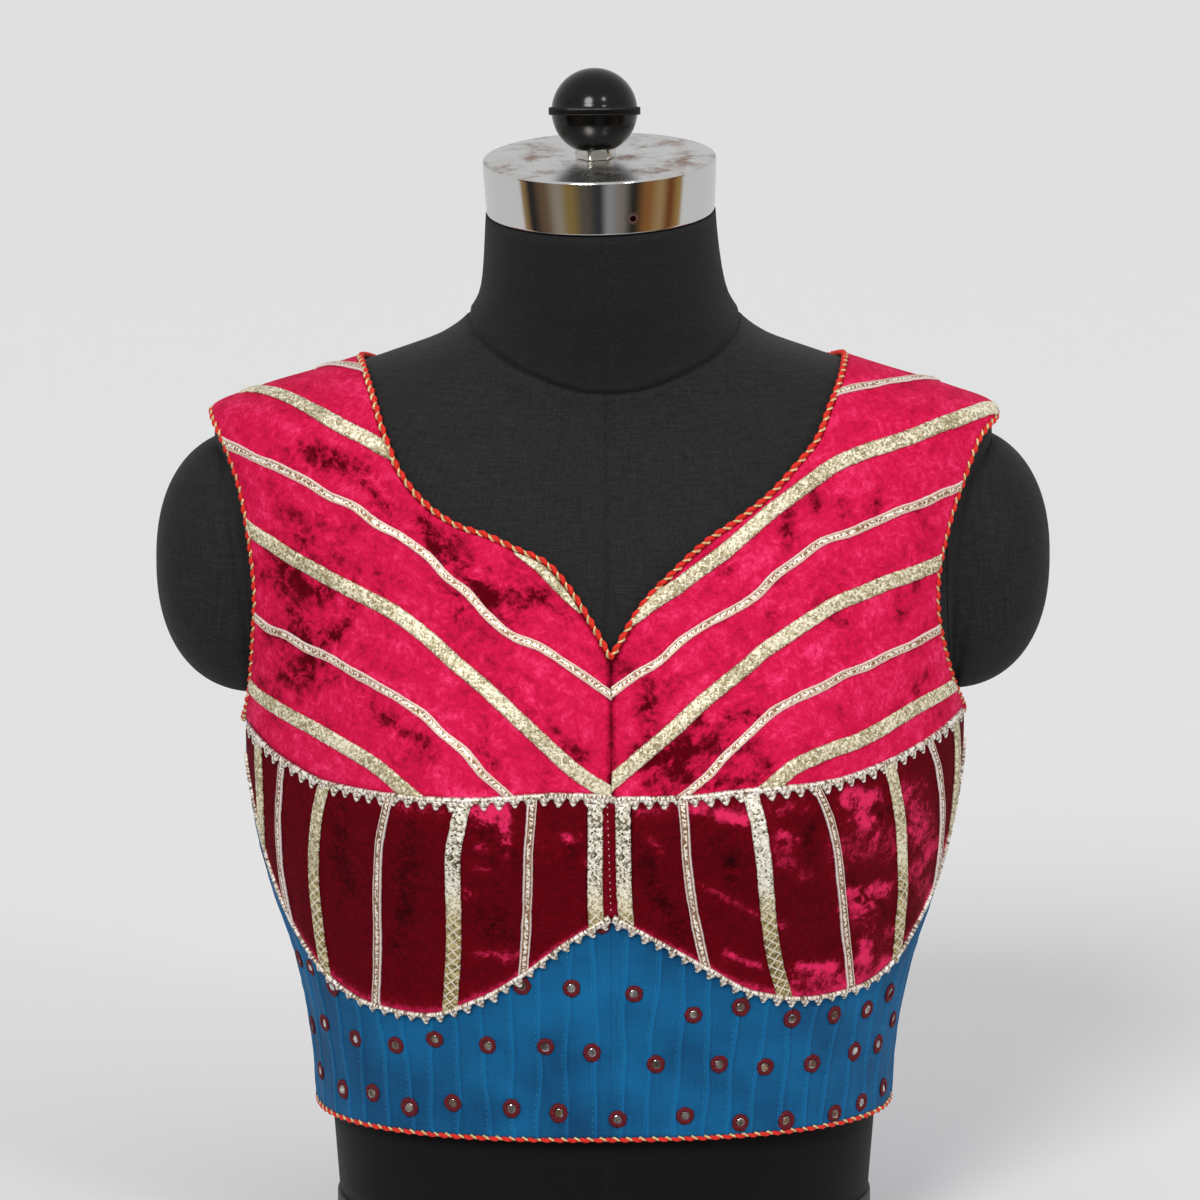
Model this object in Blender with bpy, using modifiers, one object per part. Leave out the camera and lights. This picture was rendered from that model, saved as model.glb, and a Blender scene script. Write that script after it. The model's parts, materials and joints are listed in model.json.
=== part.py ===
"""Choli blouse on a limbless dress form.

A sleeveless choli of crushed velvet and pintucked cotton stands on a jersey
covered form with arm caps, a chrome neck cap and a ball knob.  Sizes are in
millimetres, turned into metres when a mesh is written.  +Z is up, the front
faces -Y and the wearer's left is +X.
"""
import math

import bmesh
import bpy
import numpy as np

MM = 0.001
PART = "choli_blouse"

# Driving sizes, mm
FRONT_TO_ORIGIN = 9.43      # the form's axis lies this far behind the origin
VELVET_LIFT = 0.9           # outer face of the velvet above the cloth surface
VELVET_WALL = 1.2
COTTON_LIFT = -1.25         # outer face of the cotton, under the velvet
COTTON_WALL = 1.0
FRONT_ROW = 15.0            # spacing of the front yokes' rows of facets
BACK_ROW = 17.0
TUCK_PITCH = 13.0           # spacing of the stitched pintucks
TUCK_RISE = 0.6             # how far a tuck's fold stands proud
TUCK_STEP = 1.2             # width of the step at a tuck's fold
COTTON_UNDERLAP = 7.0       # cotton that runs on under the velvet's edge
SEAM_GAP = 0.3
GOTA_GAP = 0.55             # gap between a panel and the tape lying on it
GOTA_THICK = 1.0
GOTA_WIDE = 7.2
GOTA_NARROW = 4.6
GOTA_STEP = 13.0
LACE_LIFT = 2.85            # underside of the pointed lace, over the gota
LACE_THICK = 0.9
LACE_BAND = 2.2
LACE_TOOTH = 4.4
LACE_PITCH = 7.2
PIPING_RADIUS = 1.75
CURVE_SPANS = 16             # points on a curve for each row of its table
PIPING_LIFT = 0.3
PIPING_STEP = 12.0
EDGE_INSET = 2.7            # panel edge back from the piping's centre line
HEM_Z = 72.6                # centre line of the hem piping
HEM_LIFT = -1.6

BASE_HEIGHT = 26.0
BASE_PROUD = 1.2
CAP_RADII = (54.2, 55.6)    # at the neck cap's lower and upper edge
CAP_HEIGHT = 26.2
CAP_ROUND = 2.0
CAP_SEAT = (-1.9, -10.0, 504.9)     # centre of its underside
CAP_TILT = 6.0              # degrees that the cap and the neck lean forward
CAP_LEAN = 1.5              # degrees that its left edge stands higher
NECK_BEND_Z = 447.0         # the neck starts to lean here
NUT_ACROSS = 19.8
NUT_HEIGHT = 4.6
NUT_TURN = 11.0             # degrees from a corner to the left
KNOB_OFF = -1.8             # the nut and knob stand off the cap's centre
KNOB_RADIUS = 20.4
KNOB_RIDGE = 1.2
KNOB_RIDGE_HALF = 1.9
KNOB_RISE = 22.4            # its centre above the cap
KNOB_TILT = -6.0            # the ridge leans back
ARM_RADII = (50.0, 38.0, 64.0)
ARM_CENTRE = (165.0, 6.0, 335.0)
ARM_SQUARE = 2.3
ARM_GAP = 0.5               # between an arm cap and the torso's side

# z, half width, front depth, back depth, centre y, squareness
FORM_SECTIONS = (
    (26, 128.5, 86, 78, 0, 2.30),
    (73, 132.0, 88, 80, 0, 2.30),
    (118, 135.0, 91, 83, 0, 2.30),
    (160, 141.0, 95, 87, 0, 2.30),
    (200, 150.0, 100, 92, 0, 2.30),
    (240, 160.0, 104, 96, 0, 2.30),
    (275, 166.0, 102, 100, 0, 2.30),
    (310, 170.0, 95, 102, 0, 2.35),
    (345, 174.0, 86, 102, 0, 2.40),
    (375, 180.0, 77, 99, 2, 2.35),
    (396, 186.0, 71, 93, 4, 2.20),
    (407.5, 184.0, 68, 88, 5, 2.05),
    (415.5, 165.0, 66, 83, 5, 1.90),
    (425.5, 133.0, 64, 77, 4, 1.80),
    (435.5, 103.0, 62, 71, 2, 1.80),
    (445, 78.0, 60, 65, -1, 1.90),
    (455, 65.0, 58, 60, -4, 2.00),
    (468, 57.8, 56.5, 56.5, -7, 2.00),
    (486, 55.2, 54.6, 54.6, -9, 2.00),
    (505, 53.8, 53.8, 53.8, -10, 2.00),
)
CLOTH_SECTIONS = (
    (60, 139.5, 97, 90, 0, 2.35),
    (73, 140.5, 98, 90, 0, 2.35),
    (95, 142.0, 100, 91, 0, 2.35),
    (118, 145.0, 102, 93, 0, 2.35),
    (150, 152.5, 105, 96, 0, 2.35),
    (175, 161.0, 107, 99, 0, 2.30),
    (200, 167.5, 108, 102, 0, 2.30),
    (225, 171.5, 109, 104, 0, 2.30),
    (247, 173.5, 108, 105, 0, 2.30),
    (275, 172.5, 106, 106, 0, 2.30),
    (310, 174.5, 99, 106, 0, 2.35),
    (345, 178.0, 90, 105.5, 0, 2.40),
    (375, 183.5, 80.5, 102.5, 2, 2.35),
    (397, 189.5, 74.5, 96.5, 4, 2.20),
    (408.5, 187.0, 71.5, 91.5, 5, 2.05),
    (416.5, 168.0, 69.5, 86.5, 5, 1.90),
    (426.5, 136.0, 67.5, 80.5, 4, 1.80),
    (436.5, 106.0, 65.5, 74.5, 2, 1.80),
    (446.5, 81.0, 63.5, 68.5, -1, 1.90),
)
# bust lobes: x, z, rise as a share of the front depth, spread x, up, down
FORM_LOBES = (82, 232, 0.235, 52, 62, 46)
CLOTH_LOBES = (82, 230, 0.205, 56, 64, 52)

# Angles are in degrees round from the centre front, the same for both sides.
# angle, height on the wearer's right, height on the wearer's left
YOKE_SEAM = (
    (0, 241, 240),
    (15, 243, 241.5),
    (30, 242, 246),
    (43, 242, 247),
    (57, 243, 252),
    (67, 249, 258),
    (76, 257, 264),
    (84, 263, 267),
)
# angle, height: the cup's lower edge from the centre front to the underarm
CUP_EDGE = {
    "right": (
        (0, 183), (11, 171), (21, 156), (32, 142), (45, 132.5), (56, 135),
        (65, 144), (71, 158), (75, 176), (78, 205), (81, 240), (83, 256),
    ),
    "left": (
        (0, 183), (11, 172), (23, 158), (35, 144), (48, 139), (58, 141),
        (67, 150), (72, 165), (76, 185), (78.5, 215), (81, 245), (83, 261),
    ),
}
# angle, height: the seam between the back yoke and the back
BACK_SEAM = ((96, 264), (110, 259), (135, 252), (160, 249), (180, 248))

# x, y, z along the neckline from the V to the centre back, x without sign
NECKLINE = {
    "right": (
        (0, -100, 305), (12, -95, 326), (22, -90, 340), (31, -88, 349),
        (45, -85, 355), (57, -81, 360), (72, -78, 365), (86, -72, 374),
        (98, -65, 388), (105, -56, 404), (111, -36, 422), (115, -8, 431),
        (116, 12, 431), (113, 30, 427), (104, 50, 415), (86, 70, 398),
        (60, 86, 384), (30, 96, 377), (0, 100, 375),
    ),
    "left": (
        (0, -100, 305), (15, -94, 329), (30, -89, 344), (45, -84, 357),
        (61, -78, 367), (76, -72, 378), (89, -65, 391), (98, -59, 401),
        (105, -48, 415), (110, -34, 424), (114, -9, 431),
        (115, 12, 431), (113, 30, 427), (104, 50, 415), (86, 70, 398),
        (60, 86, 384), (30, 96, 377), (0, 100, 375),
    ),
}
NECK_SEAM_ROW = {"right": 12, "left": 11}
# x, y, z round the armhole: front edge down, underarm, back edge up
ARMHOLE = {
    "right": (
        (188, 14, 407), (187, -2, 407), (179, -24, 393), (171, -34, 364),
        (167, -38, 340), (166, -38, 321), (168, -30, 290), (171, -18, 268),
        (173, 4, 258), (172, 24, 265), (168, 40, 288), (165, 48, 318),
        (166, 48, 342), (170, 44, 366), (178, 32, 392),
    ),
    "left": (
        (188, 14, 406), (188, -2, 405), (177, -25, 397), (168, -37, 376),
        (160, -46, 355), (156, -52, 334), (157, -51, 310), (163, -38, 283),
        (171, -18, 267), (173, 4, 260), (171, 26, 267), (166, 42, 288),
        (163, 50, 318), (164, 50, 342), (169, 44, 366), (178, 32, 392),
    ),
}
ARM_SIDE_ROW = {"right": 7, "left": 8}

# Tapes on the yoke: side, width, points: x without sign and z as seen from
# the front, or x, y, z where they cross the shoulder
YOKE_GOTA = (
    ("right", "narrow", ((118, -13, 430), (124, -5, 430), (131, 6, 428.5), (137, 13, 426))),
    ("right", "wide", ((109, -57.5, 400.5), (125, -49, 408), (142, -34, 414.4),
                       (154, -16, 417.5), (163, -2, 417.5), (169, 7, 415.5))),
    ("right", "half", ((16, 323), (33, 343.5), (50, 352))),
    ("right", "narrow", ((0, 289), (24, 305), (52, 320), (80, 346), (117, 370),
                         (155, 388), (174, 394.5))),
    ("right", "wide", ((0, 243.5), (24, 260), (52, 287), (80, 309), (108, 328),
                       (136, 341), (162, 354.5))),
    ("right", "narrow", ((51, 246.5), (62, 257), (80, 274), (99, 286), (127, 300),
                         (162, 313.8))),
    ("right", "wide", ((97, 247), (108, 254), (127, 263), (146, 271), (164, 278.5))),
    ("left", "narrow", ((115, -37, 421.5), (127, -28, 422.4), (143, -12, 422.4),
                        (154.5, 2, 421), (160, 10, 419))),
    ("left", "wide", ((24, 330.5), (39, 340.5), (57, 357), (83, 375), (109, 391),
                      (139, 399), (178, 407))),
    ("left", "narrow", ((0, 290), (23, 305), (42, 319), (61, 329), (80, 343),
                        (99, 354.5), (130, 365.5), (164, 376))),
    ("left", "wide", ((0, 247.5), (13, 261), (32, 276), (51, 292), (80, 313),
                      (108, 328), (138, 337), (153, 341))),
    ("left", "narrow", ((37, 246.5), (51, 258), (69, 274.5), (89, 287), (118, 297.5),
                        (138, 304), (153, 309))),
    ("left", "wide", ((76, 250.5), (88, 257), (108, 262), (128, 268.5), (148, 277),
                      (160, 280.5))),
)
# Tapes on the cups: width, angle at the top, halfway and at the lower edge
CUP_GOTA = {
    "right": (
        ("wide", 4.0, 4.0, 3.8), ("narrow", 17.6, 19.0, 21.5),
        ("wide", 29.6, 33.8, 38.6), ("narrow", 43.4, 49.2, 54.7),
        ("wide", 58.0, 62.9, 66.2), ("narrow", 68.3, 71.0, 73.6),
        ("wide", 76.0, 75.8, 78.0),
    ),
    "left": (
        ("wide", 2.8, 3.0, 3.8), ("narrow", 15.9, 17.8, 23.0),
        ("wide", 27.9, 32.8, 41.4), ("narrow", 40.0, 48.2, 56.4),
        ("wide", 56.9, 62.3, 67.7), ("narrow", 67.4, 72.5, 75.6),
        ("wide", 76.6, 77.2, 78.3),
    ),
}
PLACKET_ANGLES = (-5.4, 4.6)

SIDES = {"right": -1.0, "left": 1.0}
TAPE_WIDTH = {"wide": GOTA_WIDE, "narrow": GOTA_NARROW, "half": GOTA_WIDE / 2}

# material: base colour, roughness, metallic
FINISHES = {
    "velvet_magenta": ((0.52, 0.01, 0.09), 0.75, 0.0),
    "velvet_maroon": ((0.16, 0.0, 0.02), 0.8, 0.0),
    "cotton_teal": ((0.01, 0.14, 0.33), 0.85, 0.0),
    "gota_gold": ((0.62, 0.56, 0.38), 0.35, 0.8),
    "gota_rose": ((0.55, 0.38, 0.27), 0.35, 0.8),
    "lace_silver": ((0.7, 0.56, 0.48), 0.4, 0.7),
    "piping_red": ((0.7, 0.05, 0.02), 0.6, 0.0),
    "jersey_black": ((0.015, 0.015, 0.017), 0.9, 0.0),
    "chrome": ((0.7, 0.7, 0.7), 0.12, 1.0),
    "plastic_black": ((0.01, 0.01, 0.01), 0.15, 0.0),
    "base_grey": ((0.15, 0.15, 0.15), 0.6, 0.0),
}


# ---------------------------------------------------------------- surfaces
def through(rows, at, column=1):
    """Monotone cubic through a table's rows: column 0 in, column n out."""
    xs = np.array([row[0] for row in rows], float)
    ys = np.array([row[column] for row in rows], float)
    step = np.diff(xs)
    slope = np.diff(ys) / step
    first = 2 * step[1:] + step[:-1]
    second = step[1:] + 2 * step[:-1]
    same = slope[1:] * slope[:-1] > 0
    before = np.where(same, slope[:-1], 1.0)
    after = np.where(same, slope[1:], 1.0)
    mean = (first + second) / (first / before + second / after)
    tangent = np.concatenate([slope[:1], np.where(same, mean, 0.0), slope[-1:]])
    at = np.clip(at, xs[0], xs[-1])
    i = np.clip(np.searchsorted(xs, at, side="right") - 1, 0, len(step) - 1)
    t = (at - xs[i]) / step[i]
    value = (1 + 2 * t) * (1 - t) ** 2 * ys[i] + t * t * (3 - 2 * t) * ys[i + 1]
    bend = (1 - t) ** 2 * tangent[i] - t * (1 - t) * tangent[i + 1]
    return value + t * step[i] * bend


class Body:
    """A smooth torso: superellipse sections with a pair of bust lobes."""

    def __init__(self, sections, lobes):
        self.sections = sections
        self.lobes = lobes

    def level(self, p):
        """Below 1 inside the body, 1 on its surface, above 1 outside."""
        x, y, z = p[..., 0], p[..., 1], p[..., 2]
        width, front, back, centre, square = (
            through(self.sections, z, k) for k in range(1, 6))
        lobe_x, lobe_z, rise, wide, up, down = self.lobes
        tall = np.where(z > lobe_z, up, down)
        across = (np.abs(x) - lobe_x) / wide
        swell = rise * np.exp(-across ** 2 - ((z - lobe_z) / tall) ** 2)
        depth = np.where(y < centre, front * (1 + swell), back)
        share = np.abs(x / width) ** square + np.abs((y - centre) / depth) ** square
        return share ** (1 / square)

    def gradient(self, p, reach=0.5):
        steps = reach * np.eye(3)
        parts = [self.level(p + s) - self.level(p - s) for s in steps]
        return np.stack(parts, -1) / (2 * reach)

    def settle(self, p):
        """Move points along the gradient until they lie on the surface."""
        p = np.array(p, float)
        for _ in range(14):
            slope = self.gradient(p)
            pull = (self.level(p) - 1) / (slope ** 2).sum(-1)
            p = p - 0.9 * pull[..., None] * slope
        return p

    def normal(self, p):
        slope = self.gradient(p)
        return slope / np.linalg.norm(slope, axis=-1, keepdims=True)

    def lift(self, p, height):
        height = np.asarray(height)[..., None]
        return p + height * self.normal(p)

    def around(self, angle, z):
        """The surface at an angle in degrees from the centre front."""
        angle, z = np.broadcast_arrays(np.radians(angle), np.asarray(z, float))
        out = np.stack([np.sin(angle), -np.cos(angle), 0 * angle], -1)
        axis = np.stack([0 * z, 0 * z, z], -1)
        near, far = np.zeros(z.shape), np.full(z.shape, 400.0)
        for _ in range(40):
            middle = (near + far) / 2
            inside = self.level(axis + middle[..., None] * out) < 1
            near = np.where(inside, middle, near)
            far = np.where(inside, far, middle)
        return axis + near[..., None] * out

    def front(self, x, z):
        """The surface straight behind a point of the front view."""
        x, z = np.broadcast_arrays(np.asarray(x, float), np.asarray(z, float))
        guess = np.stack([x, np.full(x.shape, -60.0), z], -1)
        near, far = np.zeros(x.shape), np.full(x.shape, 160.0)
        centre = through(self.sections, z, 4)
        for _ in range(40):
            middle = (near + far) / 2
            guess[..., 1] = centre - middle
            inside = self.level(guess) < 1
            near = np.where(inside, middle, near)
            far = np.where(inside, far, middle)
        return guess


FORM = Body(FORM_SECTIONS, FORM_LOBES)
CLOTH = Body(CLOTH_SECTIONS, CLOTH_LOBES)


def curve_through(points, spans=CURVE_SPANS, closed=False):
    """Smooth path through points: cubic spans with chord tangents."""
    p = np.array(points, float)
    if closed:
        p = np.concatenate([p[-1:], p, p[:2]])
    else:
        p = np.concatenate([2 * p[:1] - p[1:2], p, 2 * p[-1:] - p[-2:-1]])
    chord = np.linalg.norm(np.diff(p, axis=0), axis=1)[:, None]
    slope = (p[2:] - p[:-2]) / (chord[1:] + chord[:-1])
    t = np.linspace(0, 1, spans, endpoint=False)[:, None]
    path = []
    for i in range(1, len(p) - 2):
        a, b = p[i], p[i + 1]
        da, db = slope[i - 1] * chord[i], slope[i] * chord[i]
        path.append((1 + 2 * t) * (1 - t) ** 2 * a + t * t * (3 - 2 * t) * b
                    + t * (1 - t) ** 2 * da - t * t * (1 - t) * db)
    return np.concatenate(path + [p[-2:-1]])


def spaced(path, count):
    """The same path as `count` points at even distances."""
    walk = np.linalg.norm(np.diff(path, axis=0), axis=1)
    walk = np.concatenate([[0], np.cumsum(walk)])
    at = np.linspace(0, walk[-1], count)
    return np.stack([np.interp(at, walk, path[:, k]) for k in range(3)], -1)


def length(path):
    return np.linalg.norm(np.diff(path, axis=0), axis=1).sum()


def patch(bottom, top, inner, outer):
    """Fill four edges with a grid: rows run from bottom to top."""
    u = np.linspace(0, 1, len(bottom))[None, :, None]
    v = np.linspace(0, 1, len(inner))[:, None, None]
    ruled = (1 - v) * bottom[None] + v * top[None]
    ruled = ruled + (1 - u) * inner[:, None] + u * outer[:, None]
    low = (1 - u) * bottom[0] + u * bottom[-1]
    high = (1 - u) * top[0] + u * top[-1]
    return ruled - (1 - v) * low - v * high


# ---------------------------------------------------------------- building
def new_collection(name):
    collection = bpy.data.collections.new(name)
    bpy.context.scene.collection.children.link(collection)
    return collection


def finish(name):
    """The Principled material of that name, made once."""
    if name in bpy.data.materials:
        return bpy.data.materials[name]
    colour, roughness, metallic = FINISHES[name]
    material = bpy.data.materials.new(name)
    material.use_nodes = True
    shader = material.node_tree.nodes["Principled BSDF"]
    shader.inputs["Base Color"].default_value = (*colour, 1.0)
    shader.inputs["Roughness"].default_value = roughness
    shader.inputs["Metallic"].default_value = metallic
    return material


def place(name, data, slot):
    """A new object of the part, with its material."""
    data.materials.append(finish(slot))
    obj = bpy.data.objects.new(name, data)
    parts.objects.link(obj)
    return obj


def world(points):
    """Millimetres about the form's axis to metres about the origin."""
    return (np.asarray(points, float) + (0, FRONT_TO_ORIGIN, 0)) * MM


def mesh_of(name, points, faces):
    mesh = bpy.data.meshes.new(name)
    mesh.from_pydata(world(points).tolist(), [], faces)
    mesh.shade_smooth()
    mesh.set_sharp_from_angle(angle=math.radians(40))
    return mesh


def grid_faces(rows, columns, start=0, flip=False):
    faces = []
    for r in range(rows - 1):
        for c in range(columns - 1):
            a = start + r * columns + c
            face = (a, a + 1, a + columns + 1, a + columns)
            faces.append(face[::-1] if flip else face)
    return faces


def faces_out(grid):
    """True if the grid's quads already face away from the form."""
    across = grid[0, 1] - grid[0, 0]
    up = grid[1, 0] - grid[0, 0]
    return np.dot(np.cross(across, up), CLOTH.normal(grid[0, 0])) > 0


def shell(name, grid, wall, slot):
    """An open grid of outer points, thickened inward."""
    rows, columns = grid.shape[:2]
    faces = grid_faces(rows, columns, flip=not faces_out(grid))
    obj = place(name, mesh_of(name, grid.reshape(-1, 3), faces), slot)
    thicken(obj, wall)
    return obj


def thicken(obj, wall):
    solid = obj.modifiers.new("wall", "SOLIDIFY")
    solid.thickness = wall * MM
    solid.offset = -1.0
    solid.use_even_offset = False


def double_wall(name, outer, inner, slot):
    """A closed wall between an outer grid with relief and a plain inner one."""
    rows, columns = outer.shape[:2]
    count = rows * columns
    out = faces_out(outer)
    faces = grid_faces(rows, columns, 0, not out)
    faces += grid_faces(rows, columns, count, out)
    rim = [c for c in range(columns)]
    rim += [r * columns + columns - 1 for r in range(1, rows)]
    rim += [(rows - 1) * columns + c for c in range(columns - 2, -1, -1)]
    rim += [r * columns for r in range(rows - 2, 0, -1)]
    for a, b in zip(rim, rim[1:] + rim[:1]):
        face = (b, a, a + count, b + count)
        faces.append(face if out else face[::-1])
    points = np.concatenate([outer.reshape(-1, 3), inner.reshape(-1, 3)])
    return place(name, mesh_of(name, points, faces), slot)


def loft(name, rings):
    """A closed body through rings, lowest first, with flat ends."""
    count, sides = rings.shape[:2]
    faces = []
    for r in range(count - 1):
        for s in range(sides):
            a = r * sides + s
            b = r * sides + (s + 1) % sides
            faces.append((a, b, b + sides))
            faces.append((a, b + sides, a + sides))
    faces.append(tuple(range(sides))[::-1])
    faces.append(tuple(range((count - 1) * sides, count * sides)))
    return mesh_of(name, rings.reshape(-1, 3), faces)


def tape(name, path, width, slot, mitre=0.0, step=GOTA_STEP):
    """A flat tape on the velvet along a path; mitre squares it to x = 0."""
    path = CLOTH.settle(spaced(path, max(3, round(length(path) / step) + 1)))
    along = np.gradient(path, axis=0)
    along /= np.linalg.norm(along, axis=1, keepdims=True)
    across = np.cross(CLOTH.normal(path), along)
    edges = np.stack([path - across * width / 2, path + across * width / 2], 1)
    if mitre:
        short = (mitre * SEAM_GAP - edges[0, :, 0]) / along[0, 0]
        edges[0] += short[:, None] * along[0]
    top = CLOTH.lift(CLOTH.settle(edges), VELVET_LIFT + GOTA_GAP + GOTA_THICK)
    return shell(name, top, GOTA_THICK, slot)


def pointed_lace(name, path, side, lift=LACE_LIFT):
    """A band with a row of triangular teeth on its lower side."""
    teeth = round(length(path) / LACE_PITCH)
    path = CLOTH.settle(spaced(path, 2 * teeth + 1))
    along = np.gradient(path, axis=0)
    along /= np.linalg.norm(along, axis=1, keepdims=True)
    down = -side * np.cross(CLOTH.normal(path), along)
    upper = (path - down * LACE_BAND / 2)[::2]
    lower = (path + down * LACE_BAND / 2)[::2]
    tips = (path + down * (LACE_BAND / 2 + LACE_TOOTH))[1::2]
    points = CLOTH.settle(np.concatenate([upper, lower, tips]))
    points = CLOTH.lift(points, lift + LACE_THICK)
    faces = []
    for k in range(teeth):
        low = teeth + 1 + k
        tip = 2 * (teeth + 1) + k
        faces.append((k, low, low + 1, k + 1))
        faces.append((low, tip, low + 1))
    if side < 0:
        faces = [face[::-1] for face in faces]
    thicken(place(name, mesh_of(name, points, faces), "lace_silver"), LACE_THICK)


def piping(name, path, lift, step=PIPING_STEP):
    """A closed round cord sewn to an edge."""
    path = CLOTH.lift(CLOTH.settle(path), lift)
    count = round(length(path) / step)
    points = world(spaced(path, count + 1)[:-1])
    curve = bpy.data.curves.new(name, "CURVE")
    curve.dimensions = "3D"
    curve.bevel_depth = PIPING_RADIUS * MM
    curve.bevel_resolution = 1
    curve.use_fill_caps = True
    spline = curve.splines.new("POLY")
    spline.points.add(len(points) - 1)
    for point, place_at in zip(spline.points, points):
        point.co = (*place_at, 1.0)
    spline.use_cyclic_u = True
    place(name, curve, "piping_red")


# ------------------------------------------------------------------- form
def torso_rings(lift, heights, sides=32):
    angles = np.linspace(0, 360, sides, endpoint=False)
    rings = FORM.around(angles[None, :], np.array(heights, float)[:, None])
    if lift:
        rings = rings + lift * FORM.normal(rings)
    return rings


TORSO_HEIGHTS = (26.3, 72, 118, 155, 185, 210, 232, 254, 280, 310, 345, 372, 390,
                 400, 407, 412, 417, 422, 428, 434, 440, 447, 456, 470, 488,
                 CAP_SEAT[2] - SEAM_GAP)


def leaning(points):
    """Shear the neck so that its top meets the tilted cap."""
    x, y, z = points[..., 0], points[..., 1], points[..., 2]
    share = np.clip((z - NECK_BEND_Z) / (CAP_SEAT[2] - NECK_BEND_Z), 0, 1)
    share = share ** 2 * (3 - 2 * share)
    rise = ((y - CAP_SEAT[1]) * math.tan(math.radians(CAP_TILT))
            + x * math.tan(math.radians(CAP_LEAN)))
    return np.stack([x + CAP_SEAT[0] * share, y, z + rise * share], -1)


def build_torso():
    rings = leaning(torso_rings(0, TORSO_HEIGHTS))
    place("form_torso", loft("form_torso", rings), "jersey_black")


def build_base():
    ring = FORM.around(np.linspace(0, 360, 32, endpoint=False), 26.5)
    ring = ring + BASE_PROUD * FORM.normal(ring)
    rings = np.stack([ring, ring])
    rings[0, :, 2] = 0.0
    rings[1, :, 2] = BASE_HEIGHT
    place("form_base", loft("form_base", rings), "base_grey")


def build_arm_caps():
    """Rounded caps, cut where they meet the torso's sides."""
    heights = [z for z in TORSO_HEIGHTS if 228 <= z <= 426]
    tool_mesh = loft("torso_tool", torso_rings(ARM_GAP, heights))
    tool = bpy.data.objects.new("torso_tool", tool_mesh)
    tool.hide_render = True
    tool.display_type = "WIRE"
    cutters.objects.link(tool)
    for side, sign in SIDES.items():
        ball = bmesh.new()
        bmesh.ops.create_uvsphere(ball, u_segments=20, v_segments=10, radius=1.0)
        for vert in ball.verts:
            unit = np.array(vert.co)
            size = (np.abs(unit) ** ARM_SQUARE).sum() ** (1 / ARM_SQUARE)
            turned = np.array([unit[2], unit[1], -unit[0]]) / size
            centre = np.array(ARM_CENTRE) * (sign, 1, 1)
            vert.co = world(turned * ARM_RADII + centre)
        mesh = bpy.data.meshes.new("form_arm_" + side)
        ball.to_mesh(mesh)
        ball.free()
        mesh.shade_smooth()
        arm = place("form_arm_" + side, mesh, "jersey_black")
        cut = arm.modifiers.new("torso", "BOOLEAN")
        cut.operation = "DIFFERENCE"
        cut.solver = "EXACT"
        cut.object = tool


def turn(points, forward, lean):
    """Turn points forward about the x axis, then sideways about y."""
    a, b = math.radians(forward), math.radians(lean)
    x, y, z = points[..., 0], points[..., 1], points[..., 2]
    y, z = y * math.cos(a) - z * math.sin(a), y * math.sin(a) + z * math.cos(a)
    x, z = x * math.cos(b) - z * math.sin(b), x * math.sin(b) + z * math.cos(b)
    return np.stack([x, y, z], -1)


def spun(profile, steps, start=0.0):
    """Rings from (radius, height) pairs, lowest first."""
    t = np.radians(start + np.arange(steps) * 360 / steps)
    rings = [[r * np.cos(t), r * np.sin(t), np.full(steps, float(h))] for r, h in profile]
    return np.moveaxis(np.array(rings), 1, 2)


def build_cap():
    low, high = CAP_RADII
    corner = 0.3 * CAP_ROUND
    rings = spun((
        (low, 0), (high, CAP_HEIGHT - CAP_ROUND),
        (high - corner, CAP_HEIGHT - corner), (high - CAP_ROUND, CAP_HEIGHT),
    ), 32)
    rings = turn(rings, CAP_TILT, CAP_LEAN) + CAP_SEAT
    place("form_neck_cap", loft("form_neck_cap", rings), "chrome")


def build_knob():
    """A hexagonal nut on the cap, and a ball with a ridge screwed on it."""
    foot = CAP_HEIGHT + SEAM_GAP
    nut = spun(((NUT_ACROSS / 2, foot), (NUT_ACROSS / 2, foot + NUT_HEIGHT)), 6, NUT_TURN)
    nut = turn(nut + (KNOB_OFF, 0, 0), CAP_TILT, CAP_LEAN) + CAP_SEAT
    place("form_knob_nut", loft("form_knob_nut", nut), "chrome")
    drop = KNOB_RISE - NUT_HEIGHT - 2 * SEAM_GAP
    seat = math.degrees(math.acos(-drop / KNOB_RADIUS))
    wide = KNOB_RADIUS + KNOB_RIDGE
    rings = []
    for fall in np.concatenate([np.linspace(seat, 99, 5), np.linspace(81, 3, 6)]):
        share = np.clip((fall - 99) / (seat - 99), 0, 1)
        a = math.radians(fall)
        ring = spun([(KNOB_RADIUS * math.sin(a), KNOB_RADIUS * math.cos(a))], 18)
        rings.append(turn(ring, KNOB_TILT + (CAP_TILT - KNOB_TILT) * share, CAP_LEAN * share))
        if fall == 99:
            ridge = ((wide, -KNOB_RIDGE_HALF), (wide, KNOB_RIDGE_HALF))
            rings.append(turn(spun(ridge, 18), KNOB_TILT, 0.0))
    centre = turn(np.array([KNOB_OFF, 0, CAP_HEIGHT + KNOB_RISE]), CAP_TILT, CAP_LEAN)
    rings = np.concatenate(rings) + centre + CAP_SEAT
    place("form_knob", loft("form_knob", rings), "plastic_black")


# ------------------------------------------------------------------ panels
def mirrored(rows, sign):
    rows = np.array(rows, float)
    rows[..., 0] *= sign
    return rows


def seam_height(side, angle):
    return through(YOKE_SEAM, angle, 1 if side == "right" else 2)


def inset(edge, other, distance):
    """Move an edge squarely along the cloth, toward the other point."""
    along = np.gradient(edge, axis=0)
    along /= np.linalg.norm(along, axis=1, keepdims=True)
    square = np.cross(CLOTH.normal(edge), along)
    toward = np.sign(((other - edge) * square).sum(1).sum())
    return CLOTH.settle(edge + toward * distance * square)


def half_neckline(side):
    """From the V to the centre back, on the cloth surface."""
    return curve_through(CLOTH.settle(mirrored(NECKLINE[side], SIDES[side])))


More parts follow.
